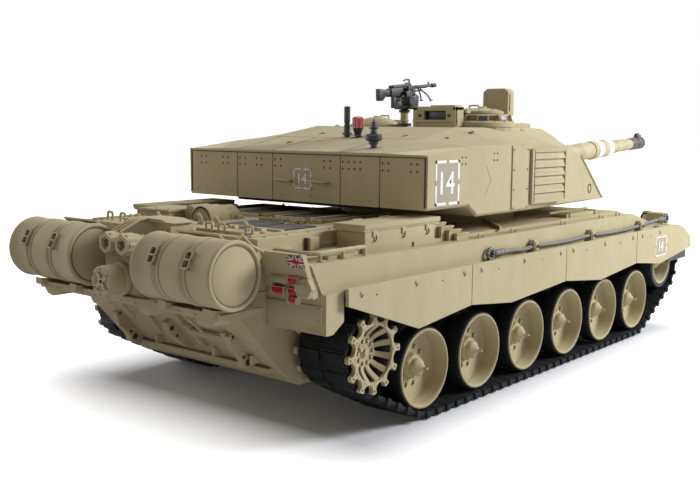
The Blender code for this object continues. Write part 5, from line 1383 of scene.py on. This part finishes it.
def build_roof():
    """Roof seams, lifting marks, the guard behind the cupola, periscopes and the gunner's sight doors."""
    piece = Piece("turret_roof_parts", "turret")
    for x in (47.5, 92.4):
        z = roof_height(x)
        lean = atan2(roof_height(x - 1) - roof_height(x + 1), 2)
        seam = box((-0.25, -62, -0.2), (0.25, 62, 0.07), 0)
        piece.add("shadow", seam, at=moved(x, 0, z) @ turned(lean, "Y"))
    # The rear slope of the roof rises 7.9 mm over 44 mm; three seams run up it.
    lean, seam_z = atan2(162.2 - 154.3, 44), 154.47
    for y in (54.6, 21.4, -37.0):
        seam = box((0, -0.25, -0.2), (43, 0.25, 0.07), 0)
        piece.add("shadow", seam, at=moved(3.8, y, seam_z) @ turned(-lean, "Y"))
    # Lifting points and drain recesses: low dark ovals, each with a small loop.
    for x, y in (
        (59, -45), (30.6, -75), (64.7, -73.5), (91.3, -76), (62, 30), (104, 52), (206, 30), (214, -14),
        (28, 30), (24, 70)):
        z = roof_height(x) - SHOULDER_FALL * max(0.0, abs(y) - SHOULDER_Y)
        lean = atan2(roof_height(x - 1) - roof_height(x + 1), 2)
        seat = moved(x, y, z) @ turned(lean, "Y")
        oval = rod((0, 0, 0.05), 1.6, 0.25, "Z", 20, edge=0)
        piece.add("shadow", oval, at=seat @ Matrix.Diagonal((1.8, 1, 1, 1)))
        piece.add("sand", wire([(-1.8, 0, 0.1), (0, 0, 1.1), (1.8, 0, 0.1)], 0.4, 6), at=seat)
    # Curved weld bead round the commander's station.
    bead, bead_r, squash = [], 33, 0.62
    for k in range(17):
        angle = radians(-150 + 95 * k / 16)
        bead.append((
            CUPOLA[0] + bead_r * cos(angle), CUPOLA[1] + bead_r * sin(angle) * squash, ROOF_Z + 0.05))
    piece.add("shadow", wire([p for p in bead if abs(p[1]) < 60], 0.3, 6))
    # Guard behind the cupola: the front frame has deep sides, a top plate and a sill.
    x0, x1 = 116.6, 127.5
    for y0, y1 in ((-46, -43.6), (-13.6, -9.4)):
        piece.add("sand", box((x0, y0, 170.0), (x1, y1, 184.2), 0.4))
    piece.add(
        "sand", box((x0, -46, 181.6), (x1, -9.4, 184.4), 0.4),
        box((x0 + 2, -44, 184.2), (x1, -23.5, 185.3), 0.3),
        box((x0 - 0.5, -46, 173.0), (x0 + 3, -9.4, 174.9), 0.3))
    # A dark smoked pane fills the frame's opening and stands in for the shade inside the open frame.
    piece.add("lens", box((x0 + 3.2, -43.4, 175), (x0 + 4.0, -13.8, 181.4), 0.1))
    for y in (-40.5, -15.5):
        piece.add("shadow", rod((x0 - 0.2, y, 178), 1.0, 1.0, "X", 12))
    # Loader's side: the hatch's rim and three periscopes.
    rim = lathe([(19.0, 0.2), (19.4, 1.6), (21.0, 1.9), (21.9, 1.2), (21.9, -0.4), (19.0, -0.4)], 48, True)
    piece.add("sand", rim, at=moved(*LOADER, ROOF_Z))
    for x, y, turn in ((170, 44, 0.0), (165, 62, 0.7), (176, 8, 0.0)):
        seat = moved(x, y, roof_height(x)) @ turned(turn, "Z")
        piece.add("sand", box((-3.6, -4.6, -1.5), (2.0, 4.6, 5.4), 0.6), at=seat)
        piece.add("lens", box((1.6, -3.8, 1.6), (2.35, 3.8, 4.6), 0.1), at=seat)
    # Gunner's thermal sight doors on the box at the front of the roof.
    for y0 in (-16.4, 0.6):
        piece.add("sand", box((273.6, y0, 162), (274.8, y0 + 15.8, 171.4), 0.3))
    for y in (-15, 15):
        piece.add("sand", rod((274.8, y, 166.5), 0.9, 8.0, "Z", 10))
    piece.add(
        "sand", box((228, -17, 172.4), (270, 17, 173.3), 0.4),
        studs([(x, y, 173.2) for x in (232, 249, 266) for y in (-14.5, 14.5)], "up", 0.9, 0.5, 6))
    piece.done()


def build_cupola():
    """Commander's ring with nine periscopes, and both domed hatches with their handles."""
    piece = Piece("cupola_parts", "turret")
    place = moved(*CUPOLA, ROOF_Z)
    ring = lathe([
        (16.6, 9.0), (17.0, 9.4), (22.0, 9.4), (22.6, 8.9), (22.4, 8.2), (20.0, 7.9), (20.0, 4.9),
        (23.6, 4.8), (26.0, 4.0), (26.5, 3.4), (26.5, 0.3), (19.7, 0.3), (19.7, -4.0),
        (16.6, -4.0)], 64, True)
    piece.add("sand", ring, at=place)
    housing = joined(
        slab([(18.0, 4.0), (24.6, 4.0), (23.6, 8.4), (18.0, 8.6)], -4.2, 4.2, "XZ", 0.3),
        slab([(22.0, 8.0), (24.2, 8.0), (23.4, 9.2), (21.0, 9.2)], -4.8, 4.8, "XZ", 0.2),
    )
    glass = slab([(24.3, 4.9), (24.75, 4.9), (23.95, 8.0), (23.5, 8.0)], -3.2, 3.2, "XZ", 0.05)
    turns = [((0, 0, 0), (0, 0, pi * (2 * k + 1) / 9)) for k in range(9)]
    piece.add("sand", scattered(housing, turns), at=place)
    piece.add("lens", scattered(glass, turns), at=place)
    piece.add("sand", bolts(18, 25.3, 0.55, 0.8, 6), at=place @ moved(0, 0, 4.4))
    piece.done("commander_cupola")

    piece = Piece("commander_hatch_parts", "commander_hatch")
    place = moved(*CUPOLA, ROOF_Z + 9.7)
    lid = lathe([
        (0, 4.3), (5.0, 4.2), (10.0, 3.9), (14.0, 3.2), (16.6, 2.3), (18.0, 1.7), (18.3, 1.2), (18.3, 0.2),
        (18.0, 0), (0, 0)], 56)
    piece.add("sand", lid, bent(
        [(-6, -4, 3.6), (-6, -4, 6.0), (-6, 4, 6.0), (-6, 4, 3.6)], 1.0, 0.6, 8), at=place)
    piece.add("sand", carried("commander_hatch", 0.0))
    piece.add(
        "sand", lathe([(0, 5.6), (2.6, 5.4), (3.2, 4.6), (3.2, 3.6), (0, 3.6)], 24),
        at=place @ moved(6, 0, 0))
    piece.add("sand", bolts(10, 15.2, 0.6, 0.7, 6), at=place @ moved(0, 0, 3.1))
    piece.done("commander_hatch")

    piece = Piece("loader_hatch_parts", "loader_hatch")
    place = moved(*LOADER, ROOF_Z + 0.3)
    piece.add("sand", carried("loader_hatch", 0.25))
    lid = lathe([
        (0, 7.0), (5.0, 6.8), (9.0, 6.1), (13.0, 4.4), (16.0, 2.7), (17.6, 1.9), (18.0, 1.4), (18.0, 0.1),
        (0, 0.1)], 56)
    piece.add(
        "sand", lid, bent([(9, -4, 4.6), (9, -4, 8.2), (9, 4, 8.2), (9, 4, 4.6)], 1.0, 0.6, 8),
        rod((0, 0, 7.2), 3.4, 1.2, "Z", 24, edge=0.4), at=place)
    piece.done("loader_hatch")


def build_machine_gun():
    """Roof machine gun on its cradle: receiver, stock, grip, ammunition drum, barrel and bipod."""
    x, y, z = *POST, MG_PIVOT_Z
    post = Piece("mg_mount_parts", "mg_mount")
    post.add(
        "gunmetal", carried("mg_mount", 0.3), rod((x, y, 181.6), 4.2, 2.2, "Z", 20, edge=0.5),
        slab([
            (x - 3.5, 184), (x + 7.0, 184), (x + 8.0, 193), (x + 3.5, 195),
            (x - 3.0, 190)], y - 7.8, y - 6.4, "XZ", 0.3),
        box((x - 7, y - 4.6, 183), (x + 4, y + 4.6, 184.4), 0.4))
    post.add(
        "sand", rod((x, y, 175.6), 3.0, 10.6, "Z", 20, edge=0.2),
        rod((x, y, 174.5), 3.4, 1.6, "Z", 20, edge=0.3))
    post.done("mg_mount")

    gun = Piece("machine_gun_parts", "machine_gun")
    tilt = moved(x, y, z) @ turned(radians(-5.7), "Y")
    gun.add(
        "gunmetal", box((-20, -2.9, -2.8), (10, 2.9, 3.4), 0.5), box((-17, -2.6, 3.2), (6, 2.6, 5.6), 0.8),
        box((-3, -3.4, -1.5), (7, 3.4, 2.2), 0.4),
        slab([
            (-19, 3.0), (-24, 2.4), (-27, 3.4), (-33.4, 4.2), (-33.8, -4.6), (-30, -5.0), (-25, -1.4),
            (-19, -1.6)], -1.9, 1.9, "XZ", 0.5),
        slab([(-16, -2.4), (-12, -2.4), (-13.2, -11.4), (-16.6, -11.4)], -1.5, 1.5, "XZ", 0.5), at=tilt)
    guard = rounded([(-12, 0, -2.6), (-10.6, 0, -6.4), (-6.4, 0, -6.2), (-6.2, 0, -2.6)], 1.2)
    gun.add(
        "gunmetal", wire(guard, 0.4, 6), rod((18, 0, 2.2), 1.35, 22, "X", 14, edge=0.2),
        rod((15, 0, -0.5), 0.7, 16, "X", 10), rod((33.5, 0, 2.2), 0.95, 11, "X", 12),
        slab([(30.6, 3.2), (32.6, 3.2), (31.9, 5.6), (31.2, 5.6)], -0.4, 0.4, "XZ", 0.1),
        box((1.5, -0.9, 5.4), (6.5, 0.9, 6.4), 0.2),
        bent([(6, 0, 3.0), (6.4, 0, 8.6), (1.0, 0, 8.8), (-1.0, 0, 8.0)], 0.8, 0.6, 8), at=tilt)
    gun.add(
        "gunmetal",
        lathe([(1.0, 3.0), (1.6, 2.6), (1.6, -2.2), (1.0, -2.6), (0.5, -2.6), (0.5, 3.0)], 16, True),
        at=tilt @ moved(38.0, 0, 2.2) @ along("X"))
    # Ammunition drum and feed under the receiver, to the right of the cradle.
    gun.add(
        "gunmetal", rod((-3.2, -5.2, -7.0), 3.7, 8.2, "Y", 28, edge=0.5),
        box((-6.6, -7.0, -6.0), (0.2, -3.2, 0.5), 0.5), at=tilt)
    gun.add("gunmetal", bolts(6, 2.4, 0.35, 0.5, 6), at=tilt @ moved(-3.2, -9.4, -7.0) @ along("Y"))
    for side in (-1, 1):
        leg = [(19, side * 0.8, 0.6), (24.5, side * 3.2, -4.0), (27.5, side * 4.6, -8.6)]
        gun.add(
            "gunmetal", wire(leg, 0.6, 8),
            box((26.4, side * 4.6 - 0.9, -9.3), (28.8, side * 4.6 + 0.9, -8.4), 0.2), at=tilt)
    gun.add("gunmetal", rod((0, 0, 0), 1.5, 12.4, "Y", 16), at=tilt)
    for k in range(5):
        gun.add("gunmetal", box((8.2 + k * 1.9, -1.7, 1.0), (9.2 + k * 1.9, 1.7, 3.6), 0.2), at=tilt)
    gun.done("machine_gun")


def build_sight_and_aerials():
    sight = Piece("panoramic_sight_parts", "panoramic_sight")
    x, y = SIGHT
    head = [
        (y - 11, 178.8), (y + 11, 178.8), (y + 11, 196.6), (y + 7.6, 199.1), (y - 7.6, 199.1),
        (y - 11, 196.6)]
    sight.add(
        "sand", slab(head, x - 4.4, x + 4.4, "YZ", 0.5),
        slab([
            (y - 9.4, 180.6), (y + 9.4, 180.6), (y + 9.4, 196), (y + 6.8, 197.8), (y - 6.8, 197.8),
            (y - 9.4, 196)], x + 4.2, x + 5.3, "YZ", 0.3),
        rod((x, y, 168.3), 4.9, 7.4, "Z", 24),
        studs([(x - 4.4, y + dy, z) for dy in (-9, 9) for z in (181, 194.8)], "rear", 0.6, 0.35, 8))
    sight.add(
        "lens", box((x + 4.9, y - 7.4, 183), (x + 5.5, y + 1.0, 195), 0.1),
        box((x + 4.9, y + 2.4, 183), (x + 5.5, y + 7.4, 190), 0.1))
    sight.add("sand", lathe([
        (0, 9.4), (5.8, 9.4), (6.2, 8.2), (7.0, 7.8), (7.0, 2.4), (7.6, 1.8), (7.6, 0.5),
        (0, 0.5)], 40), at=moved(x, y, ROOF_Z))
    # A faint dark line down the side of the head is painted shade.
    sight.add("wash", wire([(x - 2, y - 11.2, 182), (x - 2, y - 11.2, 195)], 0.35, 6))
    sight.done("panoramic_sight")

    piece = Piece("aerial_parts", "turret")
    seat = moved(50.0, -3.0, AERIAL_Z)
    piece.add("black", lathe([
        (0, 19.6), (1.7, 19.5), (2.1, 19.0), (2.1, 8.6), (1.8, 8.2), (1.8, 7.4), (2.2, 7.0), (2.2, 2.4),
        (3.3, 1.8), (3.4, 0.2), (2.0, 0.1), (2.0, -6.0), (0, -6.0)], 28), at=seat)
    seat = moved(50.0, -12.5, AERIAL_Z)
    piece.add("black", lathe([
        (3.9, 5.2), (3.2, 4.2), (2.2, 0.9), (4.6, 0.6), (4.8, 0.05), (2.0, 0.05), (2.0, -6), (0, -6),
        (0, 5.2)], 28, True), at=seat)
    ribs = []
    for k in range(48):
        angle = 2 * pi * k / 48
        radius = 3.9 if k % 4 < 2 else 3.55
        ribs.append((radius * cos(angle), radius * sin(angle)))
    piece.add(
        "lamp_red", slab(ribs, 5.0, 11.6, "XY", 0),
        lathe([(0, 13.0), (1.6, 12.9), (3.0, 12.4), (3.6, 11.7), (3.5, 11.2), (0, 11.2)], 28), at=seat)
    seat = moved(17.0, -52.0, FINNED_Z)
    fins = [
        (0, 16.0), (0.5, 15.9), (0.6, 14.2), (1.5, 13.8), (1.7, 11.0), (3.2, 10.6), (3.2, 9.9), (1.9, 9.6),
        (2.1, 7.2), (4.6, 6.4), (5.2, 5.6), (5.2, 3.2), (4.6, 2.4), (3.0, 2.0), (3.0, 0.1), (2.0, 0.05),
        (2.0, -6), (0, -6)]
    piece.add("black", lathe(fins, 32), at=seat)
    piece.add("black", bolts(6, 4.6, 0.5, 0.6, 6), at=seat @ moved(0, 0, 6.3))
    piece.done("antenna_stub", "ir_receiver", "aerial_base")


# --- gun ------------------------------------------------------------------------------------

def build_gun():
    """Mantlet, and the tube in its thermal sleeve with straps, extractor, bands and muzzle sight."""
    lay = moved(TRUNNION_X, 0, TRUNNION_Z) @ turned(-GUN_RISE, "Y")
    mantlet = Piece("gun_mantlet_parts", "mantlet")
    mantlet.add(
        "sand", carried("gun_mantlet", 0.5),
        studs([(x, y, 153.2) for x in (280, 296) for y in (-17, 17)], "up", 1.0, 0.6, 6))
    mantlet.add("shadow", rod((50, -12.5, 2.0), 1.7, 22, "X", 16), at=lay)
    mantlet.add(
        "sand",
        lathe([
            (8.8, 9.0), (9.4, 8.2), (10.0, 3.0), (10.2, -1.0), (10.2, -4.0), (8.4, -4.0),
            (8.4, 8.6)], 40, True),
        at=lay @ moved(63, 0, 0) @ along("X"))
    mantlet.done("gun_mantlet")

    piece = Piece("gun_tube_parts", "barrel")
    axis = lay @ along("X")

    def sleeve(*profile, finish="sand_gun"):
        piece.add(finish, lathe([(0, profile[0][1]), *profile, (0, profile[-1][1])], 44), at=axis)

    sleeve((5.8, -6), (5.8, 76))
    sleeve(
        (7.2, 74), (7.4, 75), (7.55, 98), (7.9, 98.5), (7.9, 101.5), (7.55, 102), (7.8, 124), (8.15, 124.5),
        (8.15, 127.5), (7.8, 128), (8.1, 148.5), (7.9, 149.5))
    sleeve((7.8, 149.4), (8.7, 149.8), (9.0, 150.4), (9.0, 154.6), (8.7, 155.2), (8.3, 155.6))
    sleeve(
        (8.3, 155.4), (8.6, 156), (8.6, 160), (8.6, 180), (8.6, 189), (8.2, 190.2), (6.6, 191.6), (6.1, 192),
        (6.0, 205), (6.35, 205.5), (6.35, 208.5), (5.95, 209), (5.75, 226), (6.1, 226.5), (6.1, 229.5),
        (5.7, 230), (5.4, 243.8), (5.2, 245))
    for low, high in ((158.2, 168.4), (180.4, 190.2)):
        sleeve((8.5, low), (8.72, low + 0.15), (8.72, high - 0.2), (8.4, high), finish="white")
    sleeve(
        (5.2, 243.4), (5.9, 244.2), (6.2, 245.4), (6.2, 271.8), (5.8, 272.6), (4.6, 272.8), (4.1, 272.2),
        (4.0, 266), finish="muzzle")
    piece.add("shadow", lathe([(0, 266.4), (4.05, 266.3), (4.05, 265.9), (0, 265.9)], 32), at=axis)
    # Seam of the sleeve along the top, and the collimator on the muzzle.
    for low, high in ((72, 98), (102, 124), (128, 148), (209, 226)):
        radius = 7.5 + (low - 72) * 0.008 if low < 150 else 5.9
        piece.add("sand_gun", box((low, -0.9, radius - 0.6), (high, 0.9, radius + 0.55), 0.2), at=lay)
    piece.add(
        "muzzle", box((261.5, -2.3, 3.5), (270.0, 2.3, 8.6), 0.6),
        rod((264.5, 0, 9.0), 1.5, 6.6, "X", 16, edge=0.3), at=lay)
    piece.add("lens", rod((261.1, 0, 9.0), 1.0, 0.4, "X", 12), at=lay)
    for low in (259.2, 270.6):
        piece.add(
            "muzzle", lathe([(5.9, 1.0), (6.5, 0.7), (6.5, -0.7), (5.9, -1.0)], 40, True),
            at=axis @ moved(0, 0, low))
    piece.done("gun_barrel")


# --- what is inside -------------------------------------------------------------------------

def build_insides():
    """Battery, electronics and gearboxes behind the covers, in their own materials."""
    battery = Piece("battery_parts", "hull")
    battery.add("blue", carried("battery_pack", 1.5))
    for x in (24.4, 115.2):
        battery.add("black", box((x, -27.5, 30.2), (x + 0.8, 27.5, 51.2), 0.3))
    for finish, lead in (("red", [(117, 10, 44), (124, 12, 46), (130, 6, 40), (138, 4, 39)]),
                         ("black", [(117, 14, 44), (126, 17, 46), (132, 10, 41), (139, 8, 39)])):
        battery.add(finish, bent(lead, 3, 1.0, 8))
    battery.done("battery_pack")
    board = Piece("control_board_parts", "hull")
    board.add("board", carried("control_board", 0.2))
    board.add("black", bars(5, (147, 20, 38.4), (12.0, 0, 0), (7.0, 9.0, 1.8)))
    board.add("white", bars(14, (146, -24, 38.6), (4.6, 0, 0), (3.2, 5.0, 2.2)))
    for x, y in ((150, 2), (150, -8), (200, 6)):
        board.add("black", rod((x, y, 41), 3.0, 7, "Z", 20, edge=0.4))
    board.done("control_board")
    bodies = {"elevation_gearbox": "turret", "power_switch": "power_switch"}
    for node in (
        "speaker", "gearbox_right", "gearbox_left", "turret_gearbox", "elevation_gearbox", "power_switch"):
        piece = Piece(node + "_parts", bodies.get(node, "hull"))
        piece.add("black", carried(node, 0.5))
        piece.done(node)
    door = Piece("battery_door_parts", "hull")
    door.add("sand", carried("battery_door", 0.3))
    for x, y in ((26, 26), (26, -26), (114, 26), (114, -26)):
        screw = lathe([
            (0, 0.5), (0.8, 0.5), (0.9, 0.0), (1.8, 0.0), (2.2, 0.3), (2.4, 0.9), (2.4, 1.6), (0, 1.6)], 20)
        door.add("gunmetal", screw, at=moved(x, y, 26.4))
    door.add("sand", bars(9, (38, 0, 26.85), (8.0, 0, 0), (1.6, 40, 0.6)))
    door.done("battery_door")


build_turret_shell()
build_turret_rear()
build_turret_sides()
build_roof()
build_cupola()
build_machine_gun()
build_sight_and_aerials()
build_gun()
build_insides()


# --- camera, floor and light ----------------------------------------------------------------

ROOM_LIGHT = 0.15
AIM = Vector((0.0, 0.0, 0.08))
EYE = (-0.6451, -0.4176, 0.1712)
# Ground that the tank covers, in metres, and how far beyond it the painted shadow on the paper reaches, where
# the paper starts to glow fully.
COVERED = ((-0.26, -0.11), (0.14, 0.11))
PAINTED_SHADOW_REACH = 0.075


def build_stage():
    """Pale studio floor, with a painted shadow round the tank, that fades into a white room, a soft key from
    the right, and weak fills.
    """
    half = 6.0
    mesh = bpy.data.meshes.new("studio_floor")
    mesh.from_pydata([
        (-half, -half, 0), (half, -half, 0), (half, half, 0), (-half, half, 0)], [], [(0, 1, 2, 3)])
    floor = bpy.data.objects.new("studio_floor", mesh)
    bpy.context.scene.collection.objects.link(floor)
    material, tree, place = new_finish("pale_studio_paper")
    rays = add(tree, "ShaderNodeLightPath")
    paper = add(tree, "ShaderNodeBsdfDiffuse", {"Color": linear("#E6E6E8")})
    # The paper glows for the camera, more so away from the tank, so that it meets the room unseen; the weak
    # glow near the tank is a painted shadow round its footprint.
    middle = [(a + b) / 2 for a, b in zip(*COVERED)]
    reach = [(b - a) / 2 for a, b in zip(*COVERED)]
    apart = add(tree, "ShaderNodeVectorMath", {0: place, 1: (*middle, 0.0)}, operation="SUBTRACT")
    upward = add(tree, "ShaderNodeVectorMath", {0: apart.outputs[0]}, operation="ABSOLUTE")
    beyond = add(tree, "ShaderNodeVectorMath", {0: upward.outputs[0], 1: (*reach, 0.0)}, operation="SUBTRACT")
    kept = add(tree, "ShaderNodeVectorMath", {0: beyond.outputs[0], 1: (0.0, 0.0, 0.0)}, operation="MAXIMUM")
    away = add(tree, "ShaderNodeVectorMath", {0: kept.outputs[0]}, operation="LENGTH")
    painted_shadow_fade = add(tree, "ShaderNodeMapRange", {
        "Value": away.outputs["Value"], "From Min": 0.0, "From Max": PAINTED_SHADOW_REACH, "To Min": 0.02,
        "To Max": 1.0})
    glow = add(tree, "ShaderNodeEmission", {"Color": (1.0, 1.0, 1.0, 1.0), "Strength": painted_shadow_fade.outputs[0]})
    lit = add(tree, "ShaderNodeAddShader", {0: paper.outputs[0], 1: glow.outputs[0]})
    seen = add(tree, "ShaderNodeMixShader", {
        0: rays.outputs["Is Camera Ray"], 1: paper.outputs[0], 2: lit.outputs[0]})
    add(tree, "ShaderNodeOutputMaterial", {"Surface": seen.outputs[0]})
    floor.data.materials.append(material)

    world = bpy.data.worlds.new("studio")
    bpy.context.scene.world = world
    world.use_nodes = True
    tree = world.node_tree
    tree.nodes.clear()
    rays = add(tree, "ShaderNodeLightPath")
    either = add(tree, "ShaderNodeMath", {0: rays.outputs["Is Camera Ray"], 1: rays.outputs["Is Glossy Ray"]},
                 operation="MAXIMUM")
    any_seen = add(tree, "ShaderNodeMath", {0: either.outputs[0], 1: rays.outputs["Is Transmission Ray"]},
                   operation="MAXIMUM")
    room = add(tree, "ShaderNodeBackground", {"Color": (1.0, 0.92, 0.76, 1.0), "Strength": ROOM_LIGHT})
    white = add(tree, "ShaderNodeBackground", {"Color": (1.0, 1.0, 1.0, 1.0), "Strength": 1.0})
    mix = add(tree, "ShaderNodeMixShader", {0: any_seen.outputs[0], 1: room.outputs[0], 2: white.outputs[0]})
    add(tree, "ShaderNodeOutputWorld", {"Surface": mix.outputs[0]})

    def softbox(name, place, size, power, colour):
        lamp = bpy.data.lights.new(name, "AREA")
        lamp.shape = "RECTANGLE"
        lamp.size, lamp.size_y = size
        lamp.energy, lamp.color = power, colour
        held = bpy.data.objects.new(name, lamp)
        held.location = place
        held.rotation_euler = (AIM - Vector(place)).to_track_quat("-Z", "Y").to_euler()
        bpy.context.scene.collection.objects.link(held)

    softbox("key", (0.66, -0.88, 0.66), (0.5, 0.5), 18.5, (0.98, 1.0, 1.06))
    softbox("top", (0.0, 0.1, 1.6), (1.2, 1.0), 9.0, (0.94, 0.98, 1.10))
    softbox("left_rear_fill", (-0.60, 0.75, 0.35), (0.4, 0.4), 2.0, (1.0, 0.97, 0.92))


def build_camera():
    scene = bpy.context.scene
    lens = bpy.data.cameras.new("main")
    focal, sensor = 48.785, 36.0
    lens.lens, lens.sensor_width, lens.sensor_fit = focal, sensor, "HORIZONTAL"
    lens.clip_start, lens.clip_end = 0.01, 40.0
    camera = bpy.data.objects.new("main", lens)
    yaw, pitch, roll = 0.6919, -0.1264, 0.0077
    look = Vector((cos(pitch) * cos(yaw), cos(pitch) * sin(yaw), sin(pitch)))
    right = Vector((sin(yaw), -cos(yaw), 0.0))
    upright = right.cross(look)
    across = right * cos(roll) + upright * sin(roll)
    upward = upright * cos(roll) - right * sin(roll)
    turn = Matrix((across, upward, -look)).transposed().to_4x4()
    camera.matrix_world = moved(*EYE) @ turn
    scene.collection.objects.link(camera)
    scene.camera = camera
    scene.view_settings.view_transform = "Standard"
    scene.view_settings.look = "None"


build_stage()
build_camera()
